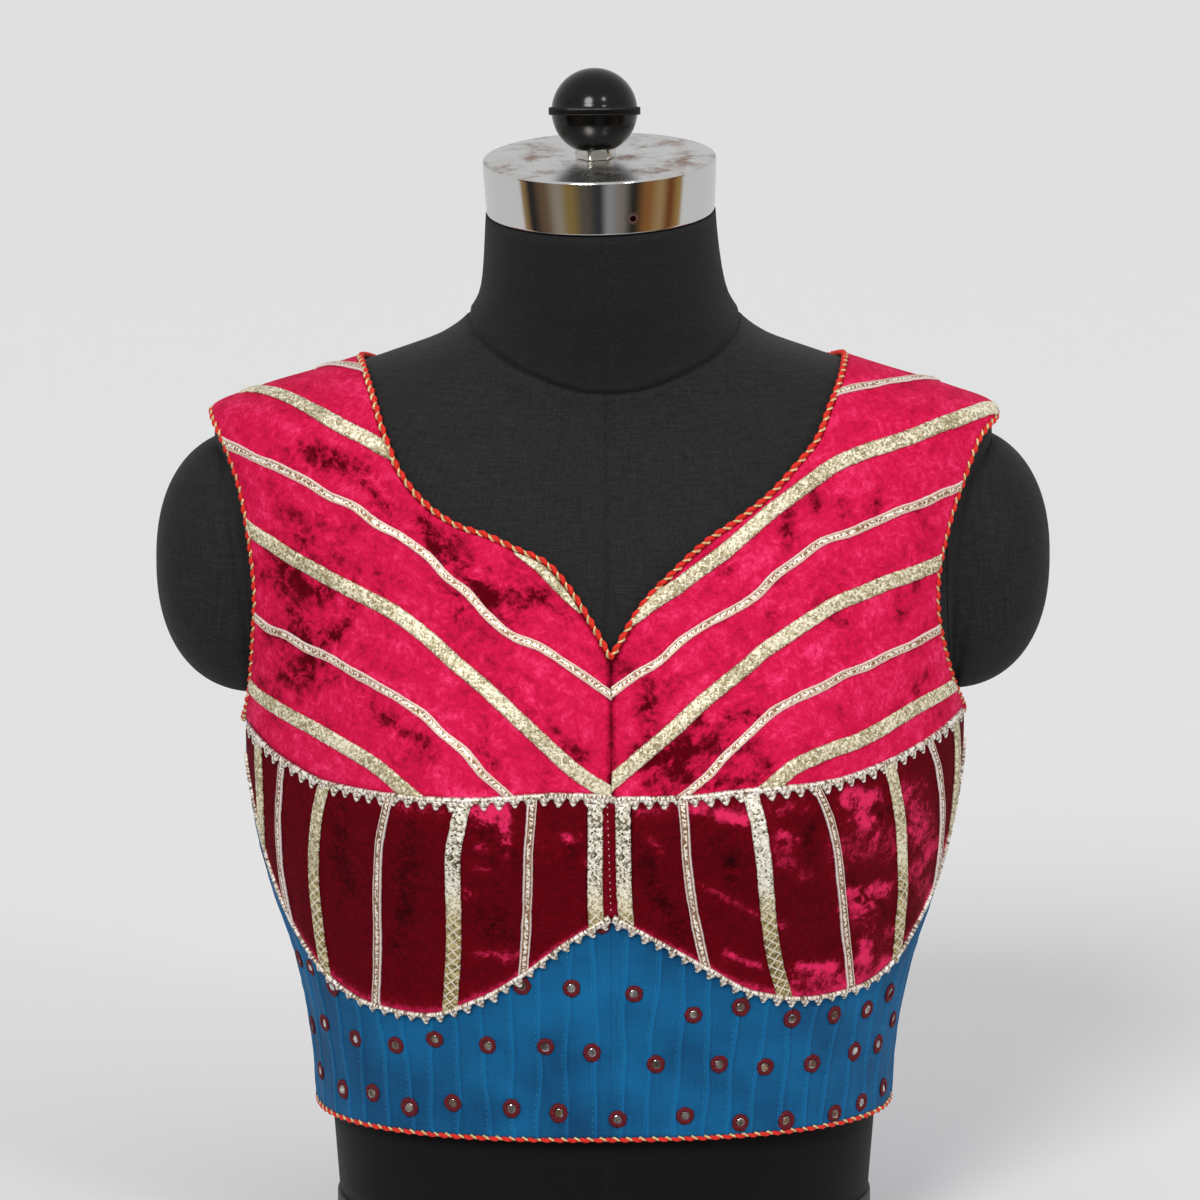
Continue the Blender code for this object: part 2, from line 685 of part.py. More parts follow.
def armhole(side):
    """The closed loop of the armhole, front edge first."""
    loop = CLOTH.settle(mirrored(ARMHOLE[side], SIDES[side]))
    return curve_through(loop, closed=True)


def between(path, first, last):
    """The stretch of a path between two of the table rows it came from."""
    return path[CURVE_SPANS * first:CURVE_SPANS * last + 1]


def yoke(name, side, centre, neck, arm, seam_at, row, columns):
    """A velvet panel between a centre seam with a neckline, and an armhole."""
    sign = SIDES[side]
    neck = inset(neck, arm[len(arm) // 2], EDGE_INSET)
    corner = neck[0] * (0, 1, 1) - (0, 0, 0.3 * EDGE_INSET)
    count = round(np.linalg.norm(corner - centre) / row) + 1
    low = np.linspace(centre, corner, count)
    low[:, 0] = sign * SEAM_GAP / 2
    neck[0] = low[-1]
    count = round(length(neck) / row) + 1
    inner = np.concatenate([low, spaced(neck, count)[1:]])
    walk = np.concatenate([[0], np.cumsum(np.linalg.norm(np.diff(inner, axis=0), axis=1))])
    fine = spaced(arm, 401)
    fine = inset(fine, neck[len(neck) // 2], EDGE_INSET)
    outer = fine[np.round(400 * walk / walk[-1]).astype(int)]
    side_angle = math.degrees(math.atan2(abs(outer[0, 0]), -outer[0, 1]))
    side_angle += 0.8 if side_angle > 90 else -0.8
    start = math.degrees(math.atan2(abs(inner[0, 0]), -inner[0, 1]))
    angles = np.linspace(start, side_angle, 200)
    seam = CLOTH.around(angles * sign, seam_at(angles) + SEAM_GAP)
    bottom = spaced(seam, columns)
    outer[0] = bottom[-1]
    inner[0] = bottom[0]
    top = np.linspace(inner[-1], outer[-1], columns)
    grid = CLOTH.settle(patch(bottom, top, inner, outer))
    shell(name, CLOTH.lift(grid, VELVET_LIFT), VELVET_WALL, "velvet_magenta")


def front_yoke(side):
    """From the yoke seam up over the shoulder to the shoulder seam."""
    neck = between(half_neckline(side), 0, NECK_SEAM_ROW[side])
    arm = between(armhole(side), 0, ARM_SIDE_ROW[side])[::-1]
    centre = CLOTH.front(0.0, seam_height(side, 0.0) + SEAM_GAP)
    yoke("yoke_front_" + side, side, centre, neck, arm,
         lambda angle: seam_height(side, angle), FRONT_ROW, 13)


def back_yoke(side):
    """From the back seam up to the shoulder seam, in two halves."""
    last = len(NECKLINE[side]) - 1
    neck = between(half_neckline(side), NECK_SEAM_ROW[side], last)[::-1]
    rows = len(ARMHOLE[side])
    arm = between(armhole(side), ARM_SIDE_ROW[side] + 2, rows)
    centre = CLOTH.around(180.0, through(BACK_SEAM, 180.0) + SEAM_GAP)
    keep_off = (0, SEAM_GAP, 0)
    neck = np.concatenate([neck[:-1], neck[-1:] + keep_off])
    arm = np.concatenate([arm[:-1], arm[-1:] + keep_off])
    yoke("yoke_back_" + side, side, centre, neck, arm,
         lambda angle: through(BACK_SEAM, angle), BACK_ROW, 12)


def edge_angles(side, count):
    """Points along the cup's lower edge at even distances: angle, height."""
    rows = CUP_EDGE[side]
    angle = np.linspace(rows[0][0] + 5.0, rows[-1][0], 200)
    height = through(rows, angle)
    place_at = CLOTH.around(angle * SIDES[side], height)
    walk = np.concatenate([[0], np.cumsum(np.linalg.norm(np.diff(place_at, axis=0), axis=1))])
    at = np.linspace(0, walk[-1], count)
    angle = np.interp(at, walk, angle)
    return angle, through(rows, angle)


def cup(side, ribs=14, rows=9):
    """Ribs fan from the yoke seam down to the curved lower edge."""
    low_angle, low_z = edge_angles(side, ribs)
    low_angle[0] = abs(PLACKET_ANGLES[0 if side == "right" else 1]) + 0.2
    low_z[0] = through(CUP_EDGE[side], low_angle[0])
    top_angle = np.linspace(low_angle[0], 82.0, ribs)
    top_z = seam_height(side, top_angle) - SEAM_GAP
    v = np.linspace(0, 1, rows)[:, None]
    angle = (1 - v) * low_angle + v * top_angle
    height = (1 - v) * low_z + v * top_z
    grid = CLOTH.around(angle * SIDES[side], height)
    shell("cup_" + side, CLOTH.lift(grid, VELVET_LIFT), VELVET_WALL, "velvet_maroon")


def placket():
    """The narrow front band that covers the hooks, between the cups."""
    angles = np.linspace(*PLACKET_ANGLES, 3)
    low = np.array([cup_edge("right" if a < 0 else "left", abs(a)) for a in angles])
    high = np.full(3, seam_height("right", 0.0) - 2 * SEAM_GAP - 1.0)
    v = np.linspace(0, 1, 7)[:, None]
    grid = CLOTH.around(np.broadcast_to(angles, (7, 3)), (1 - v) * low + v * high)
    shell("front_placket", CLOTH.lift(grid, VELVET_LIFT), VELVET_WALL, "velvet_maroon")


def cup_edge(side, angle):
    return through(CUP_EDGE[side], angle)


def underarm(side):
    """Angle and height of the cotton's edge under the arm."""
    loop = armhole(side)
    angle = np.degrees(np.arctan2(np.abs(loop[:, 0]), -loop[:, 1]))
    low = (loop[:, 2] < 300)
    order = np.argsort(angle[low])
    return angle[low][order], loop[low][order, 2] - EDGE_INSET


def tuck_angles(first, last):
    """Fold and foot angle of each pintuck, spaced along the hem."""
    fine = np.linspace(first, last, 721)
    hem = CLOTH.around(fine, 90.0)
    walk = np.concatenate([[0], np.cumsum(np.linalg.norm(np.diff(hem, axis=0), axis=1))])
    count = round(walk[-1] / TUCK_PITCH)
    fold = np.arange(0.5, count) * walk[-1] / count
    at = np.sort(np.concatenate([[0], fold, fold + TUCK_STEP, [walk[-1]]]))
    raised = np.zeros(len(at))
    raised[1:-1:2] = 1.0
    return np.interp(at, walk, fine), raised


def cotton(name, side, first, last, top_of, rows=6):
    """A pintucked wall from the hem to its top edge."""
    gap = np.degrees(SEAM_GAP / 2 / 140.0)
    angles, raised = tuck_angles(first + gap, last - gap)
    top = top_of(side, angles)
    v = np.linspace(0, 1, rows)[:, None]
    hem = HEM_Z + PIPING_RADIUS + SEAM_GAP
    height = (1 - v) * hem + v * top
    grid = CLOTH.around(np.broadcast_to(angles, height.shape) * SIDES[side], height)
    fade = np.clip((top - height) / 12.0, 0, 1)
    outer = CLOTH.lift(grid, COTTON_LIFT + TUCK_RISE * raised * fade)
    inner = CLOTH.lift(grid, COTTON_LIFT - COTTON_WALL)
    double_wall(name, outer, inner, "cotton_teal")


def front_top(side, angle):
    under_angle, under_z = underarm(side)
    edge = cup_edge(side, angle) + COTTON_UNDERLAP
    limit = np.interp(angle, under_angle, under_z)
    return np.where(angle > 75, np.minimum(edge + 4.0, limit), edge)


def back_top(side, angle):
    under_angle, under_z = underarm(side)
    edge = through(BACK_SEAM, angle) + COTTON_UNDERLAP
    return np.minimum(edge, np.interp(angle, under_angle, under_z, right=999.0))


# -------------------------------------------------------------------- trim
def yoke_route(side, points):
    """A tape's path on the yoke, through points of the front view or on over
    the shoulder."""
    points = mirrored(points, SIDES[side])
    if points.shape[1] == 2:
        points = CLOTH.front(points[:, 0], points[:, 1])
    return curve_through(CLOTH.settle(points))


def yoke_tapes():
    counts = {"right": 0, "left": 0}
    for side, width, points in YOKE_GOTA:
        counts[side] += 1
        slot = "gota_rose" if width == "narrow" else "gota_gold"
        name = "gota_yoke_%s_%d" % (side, counts[side])
        mitre = SIDES[side] if points[0][0] == 0 else 0.0
        step = GOTA_STEP / 3 if len(points[0]) == 3 else GOTA_STEP
        tape(name, yoke_route(side, points), TAPE_WIDTH[width], slot, mitre, step)


def cup_tapes():
    for side, rows in CUP_GOTA.items():
        for number, (width, top, middle, low) in enumerate(rows, 1):
            v = np.linspace(0, 1, 12)
            top_z = seam_height(side, top) - 1.8
            low_z = cup_edge(side, low) + 1.2
            angle = (top * (1 - v) * (1 - 2 * v) + middle * 4 * v * (1 - v)
                     + low * v * (2 * v - 1))
            path = CLOTH.around(angle * SIDES[side], top_z + (low_z - top_z) * v)
            slot = "gota_rose" if width == "narrow" else "gota_gold"
            name = "gota_cup_%s_%d" % (side, number)
            tape(name, path, TAPE_WIDTH[width], slot)


def laces():
    for side, sign in SIDES.items():
        angle = np.linspace(0.15, 80.5, 60)
        seam = CLOTH.around(angle * sign, seam_height(side, angle))
        pointed_lace("lace_seam_" + side, seam, sign)
        rows = CUP_EDGE[side]
        fine = np.linspace(1.0, rows[-1][0] - 1.2, 300)
        edge = CLOTH.around(fine * sign, through(rows, fine) + LACE_BAND / 2)
        pointed_lace("lace_cup_" + side, edge, sign)
        angle = np.linspace(101.0, 179.8, 60)
        seam = CLOTH.around(angle * sign, through(BACK_SEAM, angle))
        pointed_lace("lace_back_" + side, seam, sign, VELVET_LIFT + GOTA_GAP)


def pipings():
    neck = np.concatenate([half_neckline("right"), half_neckline("left")[::-1][1:]])
    piping("piping_neck", neck, PIPING_LIFT)
    for side in SIDES:
        piping("piping_arm_" + side, armhole(side), PIPING_LIFT)
    hem = CLOTH.around(np.linspace(0, 360, 241), HEM_Z)
    piping("piping_hem", hem, HEM_LIFT, step=18.0)


def build():
    build_base()
    build_torso()
    build_arm_caps()
    build_cap()
    build_knob()
    for side in SIDES:
        front_yoke(side)
        back_yoke(side)
        cup(side)
        cotton("midriff_front_" + side, side, 0.0, 90.0, front_top)
        cotton("back_body_" + side, side, 90.0, 180.0, back_top)
    placket()
    yoke_tapes()
    cup_tapes()
    laces()
    pipings()


for old in list(bpy.data.objects):
    bpy.data.objects.remove(old, do_unlink=True)
parts = new_collection(PART)
cutters = new_collection(PART + "_cutters")
build()
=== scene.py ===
# %% [markdown]
# # A choli blouse on a dress form
#
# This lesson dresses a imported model: the solids of a choli, a short
# sleeveless blouse, standing on a limbless dress form. The solids already
# have the right sizes. Here every visible surface gets the finish of the real
# one: crushed velvet with its nap, pintucked cotton with small mirrors, metal
# ribbon, pointed lace, twisted cord, stretch jersey and chrome.

# %% Load the frame
import json

import bpy
import numpy as np
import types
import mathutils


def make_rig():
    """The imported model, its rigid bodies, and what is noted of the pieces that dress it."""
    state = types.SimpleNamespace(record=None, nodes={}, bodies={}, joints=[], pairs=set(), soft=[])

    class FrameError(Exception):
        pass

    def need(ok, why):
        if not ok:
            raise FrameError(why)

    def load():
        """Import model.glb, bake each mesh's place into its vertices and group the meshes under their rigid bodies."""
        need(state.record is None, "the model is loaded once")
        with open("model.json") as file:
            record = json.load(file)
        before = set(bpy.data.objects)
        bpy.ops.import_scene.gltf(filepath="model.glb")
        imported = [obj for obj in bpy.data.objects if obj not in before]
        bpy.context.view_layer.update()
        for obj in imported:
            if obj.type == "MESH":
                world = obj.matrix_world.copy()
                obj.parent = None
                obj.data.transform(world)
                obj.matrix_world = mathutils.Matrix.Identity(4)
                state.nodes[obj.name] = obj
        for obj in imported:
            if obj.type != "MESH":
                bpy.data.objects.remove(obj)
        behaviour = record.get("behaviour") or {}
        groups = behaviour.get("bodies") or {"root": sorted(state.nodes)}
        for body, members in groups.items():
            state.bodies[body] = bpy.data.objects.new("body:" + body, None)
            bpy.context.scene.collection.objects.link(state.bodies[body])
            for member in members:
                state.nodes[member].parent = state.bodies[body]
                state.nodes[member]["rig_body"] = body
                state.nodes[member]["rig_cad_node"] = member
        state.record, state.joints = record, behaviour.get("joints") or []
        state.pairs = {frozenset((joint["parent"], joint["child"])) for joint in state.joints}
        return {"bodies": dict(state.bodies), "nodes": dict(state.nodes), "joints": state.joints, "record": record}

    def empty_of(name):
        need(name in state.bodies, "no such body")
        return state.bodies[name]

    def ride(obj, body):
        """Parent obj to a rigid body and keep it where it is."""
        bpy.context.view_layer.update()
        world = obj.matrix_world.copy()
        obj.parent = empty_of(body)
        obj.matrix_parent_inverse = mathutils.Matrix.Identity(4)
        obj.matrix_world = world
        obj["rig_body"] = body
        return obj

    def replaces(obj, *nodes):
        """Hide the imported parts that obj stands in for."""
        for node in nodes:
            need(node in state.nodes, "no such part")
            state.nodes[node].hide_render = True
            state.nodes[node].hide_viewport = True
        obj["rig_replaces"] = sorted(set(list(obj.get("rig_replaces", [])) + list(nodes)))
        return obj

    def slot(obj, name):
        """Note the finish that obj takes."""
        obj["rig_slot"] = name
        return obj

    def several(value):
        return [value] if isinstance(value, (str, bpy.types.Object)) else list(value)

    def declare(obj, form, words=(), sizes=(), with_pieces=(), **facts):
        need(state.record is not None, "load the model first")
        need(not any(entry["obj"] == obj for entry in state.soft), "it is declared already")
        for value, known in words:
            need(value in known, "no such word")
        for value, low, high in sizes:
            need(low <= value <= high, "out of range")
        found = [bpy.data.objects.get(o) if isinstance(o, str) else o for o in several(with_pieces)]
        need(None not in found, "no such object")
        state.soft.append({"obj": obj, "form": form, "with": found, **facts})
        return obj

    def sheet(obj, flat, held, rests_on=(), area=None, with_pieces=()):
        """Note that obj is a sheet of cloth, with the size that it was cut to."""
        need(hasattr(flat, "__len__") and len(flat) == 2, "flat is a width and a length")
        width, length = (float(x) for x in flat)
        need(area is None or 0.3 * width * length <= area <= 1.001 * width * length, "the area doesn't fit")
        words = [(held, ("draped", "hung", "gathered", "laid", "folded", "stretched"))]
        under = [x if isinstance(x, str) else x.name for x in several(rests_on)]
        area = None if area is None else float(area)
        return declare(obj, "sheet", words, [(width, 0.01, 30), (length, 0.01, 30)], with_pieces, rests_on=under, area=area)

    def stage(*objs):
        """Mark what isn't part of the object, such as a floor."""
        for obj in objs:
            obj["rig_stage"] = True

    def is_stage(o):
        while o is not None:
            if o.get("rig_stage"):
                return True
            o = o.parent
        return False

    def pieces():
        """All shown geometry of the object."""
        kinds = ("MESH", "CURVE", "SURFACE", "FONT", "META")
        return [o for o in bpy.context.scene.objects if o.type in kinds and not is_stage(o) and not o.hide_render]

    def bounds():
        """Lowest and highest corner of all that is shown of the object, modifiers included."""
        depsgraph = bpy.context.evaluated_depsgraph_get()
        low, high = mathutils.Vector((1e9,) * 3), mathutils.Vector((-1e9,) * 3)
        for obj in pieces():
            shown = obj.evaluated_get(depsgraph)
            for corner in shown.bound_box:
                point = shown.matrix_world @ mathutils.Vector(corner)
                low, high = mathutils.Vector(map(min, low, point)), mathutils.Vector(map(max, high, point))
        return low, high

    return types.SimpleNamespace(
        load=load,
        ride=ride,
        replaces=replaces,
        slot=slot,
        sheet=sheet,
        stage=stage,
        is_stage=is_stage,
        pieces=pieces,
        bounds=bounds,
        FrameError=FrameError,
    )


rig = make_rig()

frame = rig.load()
cad_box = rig.bounds()
MM = 0.001
SIDES = {"right": -1.0, "left": 1.0}
print(len(frame["nodes"]), "solids, box", cad_box)

# %% [markdown]
# ## The shape under the cloth
#
# A torso is a stack of level sections. Each section is a superellipse, an
# ellipse with fuller corners, with its own half width, front depth and back
# depth. Two soft lobes swell the front for the bust. One formula then gives
# the whole surface: a point's level is below 1 inside and above 1 outside, so
# any curve drawn near the body can be settled onto it. The form and the cloth
# each have such a table, in millimetres from the form's axis.

# %% Section tables
AXIS_Y = 9.43               # the form's axis behind the origin
# z, half width, front depth, back depth, centre y, squareness
FORM_SECTIONS = (
    (26, 128.5, 86, 78, 0, 2.30),
    (73, 132.0, 88, 80, 0, 2.30),
    (118, 135.0, 91, 83, 0, 2.30),
    (160, 141.0, 95, 87, 0, 2.30),
    (200, 150.0, 100, 92, 0, 2.30),
    (240, 160.0, 104, 96, 0, 2.30),
    (275, 166.0, 102, 100, 0, 2.30),
    (310, 170.0, 95, 102, 0, 2.35),
    (345, 174.0, 86, 102, 0, 2.40),
    (375, 180.0, 77, 99, 2, 2.35),
    (396, 186.0, 71, 93, 4, 2.20),
    (407.5, 184.0, 68, 88, 5, 2.05),
    (415.5, 165.0, 66, 83, 5, 1.90),
    (425.5, 133.0, 64, 77, 4, 1.80),
    (435.5, 103.0, 62, 71, 2, 1.80),
    (445, 78.0, 60, 65, -1, 1.90),
    (455, 65.0, 58, 60, -4, 2.00),
    (468, 57.8, 56.5, 56.5, -7, 2.00),
    (486, 55.2, 54.6, 54.6, -9, 2.00),
    (505, 53.8, 53.8, 53.8, -10, 2.00),
)
CLOTH_SECTIONS = (
    (60, 139.5, 97, 90, 0, 2.35),
    (73, 140.5, 98, 90, 0, 2.35),
    (95, 142.0, 100, 91, 0, 2.35),
    (118, 145.0, 102, 93, 0, 2.35),
    (150, 152.5, 105, 96, 0, 2.35),
    (175, 161.0, 107, 99, 0, 2.30),
    (200, 167.5, 108, 102, 0, 2.30),
    (225, 171.5, 109, 104, 0, 2.30),
    (247, 173.5, 108, 105, 0, 2.30),
    (275, 172.5, 106, 106, 0, 2.30),
    (310, 174.5, 99, 106, 0, 2.35),
    (345, 178.0, 90, 105.5, 0, 2.40),
    (375, 183.5, 80.5, 102.5, 2, 2.35),
    (397, 189.5, 74.5, 96.5, 4, 2.20),
    (408.5, 187.0, 71.5, 91.5, 5, 2.05),
    (416.5, 168.0, 69.5, 86.5, 5, 1.90),
    (426.5, 136.0, 67.5, 80.5, 4, 1.80),
    (436.5, 106.0, 65.5, 74.5, 2, 1.80),
    (446.5, 81.0, 63.5, 68.5, -1, 1.90),
)
# bust lobes: x, z, rise as a share of the front depth, spread x, up, down
FORM_LOBES = (82, 232, 0.235, 52, 62, 46)
CLOTH_LOBES = (82, 230, 0.205, 56, 64, 52)


# %% Curves through a table
def through(rows, at, column=1):
    """Monotone cubic: between two rows the value runs on a cubic whose end
    slopes are the weighted harmonic mean of the slopes on either side."""
    xs = np.array([row[0] for row in rows], float)
    ys = np.array([row[column] for row in rows], float)
    step = np.diff(xs)
    slope = np.diff(ys) / step
    first = 2 * step[1:] + step[:-1]
    second = step[1:] + 2 * step[:-1]
    same = slope[1:] * slope[:-1] > 0
    before = np.where(same, slope[:-1], 1.0)
    after = np.where(same, slope[1:], 1.0)
    mean = (first + second) / (first / before + second / after)
    tangent = np.concatenate([slope[:1], np.where(same, mean, 0.0), slope[-1:]])
    at = np.clip(at, xs[0], xs[-1])
    i = np.clip(np.searchsorted(xs, at, side="right") - 1, 0, len(step) - 1)
    t = (at - xs[i]) / step[i]
    value = (1 + 2 * t) * (1 - t) ** 2 * ys[i] + t * t * (3 - 2 * t) * ys[i + 1]
    bend = (1 - t) ** 2 * tangent[i] - t * (1 - t) * tangent[i + 1]
    return value + t * step[i] * bend


def unit(v):
    """Each vector divided by its length."""
    return v / np.maximum(np.linalg.norm(v, axis=-1, keepdims=True), 1e-12)


def joined(*parts):
    """Coordinates side by side, as points: numbers are stretched to arrays."""
    return np.stack(np.broadcast_arrays(*parts), -1)


def smoothstep(low, high, x):
    """0 below low, 1 above high, and 3t2 - 2t3 between them."""
    t = np.clip((x - low) / (high - low), 0, 1)
    return t * t * (3 - 2 * t)


# %% A body worked out from its sections
class Body:
    """Superellipse sections, read every half millimetre, with bust lobes."""

    def __init__(self, sections, lobes):
        self.z = np.arange(sections[0][0], sections[-1][0] + 0.25, 0.5)
        self.columns = [through(sections, self.z, k) for k in range(1, 6)]
        self.lobes = lobes

    def level(self, p):
        """(|x/width|^n + |y/depth|^n)^(1/n), with the depth swollen in front
        by two Gaussian lobes: 1 on the surface."""
        x, y, z = p[..., 0], p[..., 1], p[..., 2]
        width, front, back, centre, square = (
            np.interp(z, self.z, column) for column in self.columns)
        lobe_x, lobe_z, rise, wide, up, down = self.lobes
        tall = np.where(z > lobe_z, up, down)
        across = (np.abs(x) - lobe_x) / wide
        swell = rise * np.exp(-across ** 2 - ((z - lobe_z) / tall) ** 2)
        depth = np.where(y < centre, front * (1 + swell), back)
        share = np.abs(x / width) ** square + np.abs((y - centre) / depth) ** square
        return share ** (1 / square)

    def gradient(self, p, reach=0.5):
        """Half the change of level across a millimetre along each axis."""
        steps = reach * np.eye(3)
        parts = [self.level(p + s) - self.level(p - s) for s in steps]
        return np.stack(parts, -1) / (2 * reach)

    def settle(self, p):
        """Newton's rule: step along the gradient by (level - 1) / slope."""
        p = np.array(p, float)
        for _ in range(9):
            slope = self.gradient(p)
            pull = (self.level(p) - 1) / (slope ** 2).sum(-1)
            p = p - 0.95 * pull[..., None] * slope
        return p

    def normal(self, p):
        """The unit gradient, which points out of the body."""
        return unit(self.gradient(p))

    def lift(self, p, height):
        """Points moved out along the normal by a height in millimetres."""
        return p + np.asarray(height)[..., None] * self.normal(p)

    def reach(self, start, out):
        """Halve the range 34 times to find where a ray leaves the body."""
        near, far = np.zeros(out.shape[:-1]), np.full(out.shape[:-1], 400.0)
        for _ in range(34):
            middle = (near + far) / 2
            inside = self.level(start + middle[..., None] * out) < 1
            near = np.where(inside, middle, near)
            far = np.where(inside, far, middle)
        return start + near[..., None] * out

    def around(self, angle, z):
        """The surface at an angle in degrees from the centre front."""
        angle, z = np.broadcast_arrays(np.radians(angle), np.asarray(z, float))
        return self.reach(joined(0.0, 0.0, z), joined(np.sin(angle), -np.cos(angle), 0.0))

    def front(self, x, z):
        """The surface straight behind a point of the front view."""
        x, z = np.broadcast_arrays(np.asarray(x, float), np.asarray(z, float))
        centre = np.interp(z, self.z, self.columns[3])
        out = np.broadcast_to(np.array([0.0, -1.0, 0.0]), (*x.shape, 3))
        return self.reach(joined(x, centre, z), out)


FORM = Body(FORM_SECTIONS, FORM_LOBES)
CLOTH = Body(CLOTH_SECTIONS, CLOTH_LOBES)
print("bust of the form", 2 * FORM.around(90.0, 232.0)[0].round(1), "mm wide")


# %% [markdown]
# ## Paths, grids and noise
#
# Trims follow paths and panels fill the space between paths. A path is a
# smooth cubic through a few named points, and it is then read again at even
# distances. A panel is a patch: a blend of its four edges. Cloth is never
# perfectly even, so a smooth value noise moves it by fractions of a
# millimetre.

# %% Paths and patches
SPANS = 16                  # points on a curve for each row of its table


def curve_through(points, spans=SPANS, closed=False):
    """Cubic spans through the points; the slope at a point is the chord
    between its two neighbours over the distance walked."""
    p = np.array(points, float)
    if closed:
        p = np.concatenate([p[-1:], p, p[:2]])
    else:
        p = np.concatenate([2 * p[:1] - p[1:2], p, 2 * p[-1:] - p[-2:-1]])
    chord = np.linalg.norm(np.diff(p, axis=0), axis=1)[:, None]
    slope = (p[2:] - p[:-2]) / (chord[1:] + chord[:-1])
    t = np.linspace(0, 1, spans, endpoint=False)[None, :, None]
    a, b, reach = p[1:-2, None], p[2:-1, None], chord[1:-1, None]
    da, db = slope[:-1, None] * reach, slope[1:, None] * reach
    path = (1 + 2 * t) * (1 - t) ** 2 * a + t * t * (3 - 2 * t) * b
    path = path + t * (1 - t) ** 2 * da - t * t * (1 - t) * db
    return np.concatenate([path.reshape(-1, 3), p[-2:-1]])


def walked(path):
    """Distance from the path's start to each of its points."""
    steps = np.linalg.norm(np.diff(path, axis=0), axis=1)
    return np.concatenate([[0], np.cumsum(steps)])


def read_at(path, known, wanted):
    """A path whose points lie at known distances, read at wanted ones."""
    return np.stack([np.interp(wanted, known, path[:, k]) for k in range(3)], -1)


def spaced(path, count):
    """The same path as `count` points at even distances."""
    walk = walked(path)
    return read_at(path, walk, np.linspace(0, walk[-1], count))


def patch(bottom, top, inner, outer):
    """Coons patch: the two rulings between opposite edges, added, less the
    plain blend of the four corners."""
    u = np.linspace(0, 1, len(bottom))[None, :, None]
    v = np.linspace(0, 1, len(inner))[:, None, None]
    ruled = (1 - v) * bottom[None] + v * top[None]
    ruled = ruled + (1 - u) * inner[:, None] + u * outer[:, None]
    low = (1 - u) * bottom[0] + u * bottom[-1]
    high = (1 - u) * top[0] + u * top[-1]
    return ruled - (1 - v) * low - v * high


def noise(p, cell, seed):
    """Value noise from -1 to 1: seeded random numbers on a lattice of cubes,
    blended between corners with a smooth step."""
    table = np.random.default_rng(seed).uniform(-1, 1, 4096)
    p = np.asarray(p, float) / cell
    base = np.floor(p).astype(int)
    f = p - base
    f = f * f * (3 - 2 * f)
    total = 0.0
    for corner in np.ndindex(2, 2, 2):
        at = base + corner
        pick = (at[..., 0] * 73856093 ^ at[..., 1] * 19349663 ^ at[..., 2] * 83492791)
        share = np.prod(np.where(corner, f, 1 - f), axis=-1)
        total = total + share * table[pick % 4096]
    return total


# %% Meshes from grids
def lay_uv(mesh, uv):
    """Give each corner of each face the UV of its point."""
    corners = np.zeros(len(mesh.loops), int)
    mesh.loops.foreach_get("vertex_index", corners)
    layer = mesh.uv_layers.new(name="cloth")
    layer.uv.foreach_set("vector", np.asarray(uv).reshape(-1, 2)[corners].ravel())


def as_mesh(name, points, faces, uv=None):
    """Points in millimetres and a face array become a mesh in metres."""
    points = (np.asarray(points, float).reshape(-1, 3) + (0, AXIS_Y, 0)) * MM
    faces = np.asarray(faces, int)
    sides = faces.shape[1]
    mesh = bpy.data.meshes.new(name)
    mesh.vertices.add(len(points))
    mesh.vertices.foreach_set("co", points.ravel())
    mesh.loops.add(faces.size)
    mesh.loops.foreach_set("vertex_index", faces.ravel())
    mesh.polygons.add(len(faces))
    mesh.polygons.foreach_set("loop_start", np.arange(0, faces.size, sides))
    mesh.update(calc_edges=True)
    if uv is not None:
        lay_uv(mesh, uv)
    mesh.shade_smooth()
    return mesh


def grid_faces(rows, columns, around=False, ring=False):
    """Quads between neighbouring rows and columns of a grid. It may close
    around its columns, and as a ring around its rows too."""
    r, c = np.meshgrid(np.arange(rows if ring else rows - 1),
                       np.arange(columns if around else columns - 1), indexing="ij")
    row, above = r * columns, (r + 1) % rows * columns
    beside = (c + 1) % columns
    return joined(row + c, row + beside, above + beside, above + c).reshape(-1, 4)


def add(name, mesh, body="root"):
    """A new piece of the scene that rides on the part."""
    obj = bpy.data.objects.new(name, mesh)
    bpy.context.scene.collection.objects.link(obj)
    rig.ride(obj, body)
    return obj


def wall(obj, thickness, offset=-1.0):
    """Give an open surface a thickness in millimetres, inward by default."""
    solid = obj.modifiers.new("wall", "SOLIDIFY")
    solid.thickness = thickness * MM
    solid.offset = offset
    return obj


def sheet_of(name, grid, uv, thickness, outward):
    """An open grid of cloth as a thin wall whose outer face is the grid."""
    rows, columns = grid.shape[:2]
    faces = grid_faces(rows, columns)
    r, c = rows // 2, columns // 2
    turn = np.cross(grid[r, c + 1] - grid[r, c], grid[r + 1, c] - grid[r, c])
    if np.dot(turn, outward(grid[r, c])) < 0:
        faces = faces[:, ::-1]
    return wall(add(name, as_mesh(name, grid, faces, uv)), thickness)


print("helpers ready")

# %% [markdown]
# ## A short way to write nodes
#
# The floor, the sky and every finish are small networks of shader nodes. In
# Blender each node is added, filled in and linked by hand, so a few helpers
# do it in one line: an input takes a plain value or another node's output.

# %% Node helpers
MATERIALS = {}


def feed(tree, pairs):
    """Give each socket its value, or a link from another node's output."""
    for socket, value in pairs:
        if isinstance(value, bpy.types.NodeSocket):
            tree.links.new(value, socket)
        else:
            socket.default_value = value


def node(tree, kind, *values, settings=None, **named):
    """Add a shader node; each input is a value or another node's output."""
    made = tree.nodes.new("ShaderNode" + kind)
    for key, value in (settings or {}).items():
        setattr(made, key, value)
    pairs = list(zip(made.inputs, values))
    pairs += [(made.inputs[key.replace("_", " ")], value) for key, value in named.items()]
    feed(tree, pairs)
    return made


def maths(tree, operation, *values):
    """One sum of a Math node."""
    return node(tree, "Math", *values, settings={"operation": operation}).outputs[0]


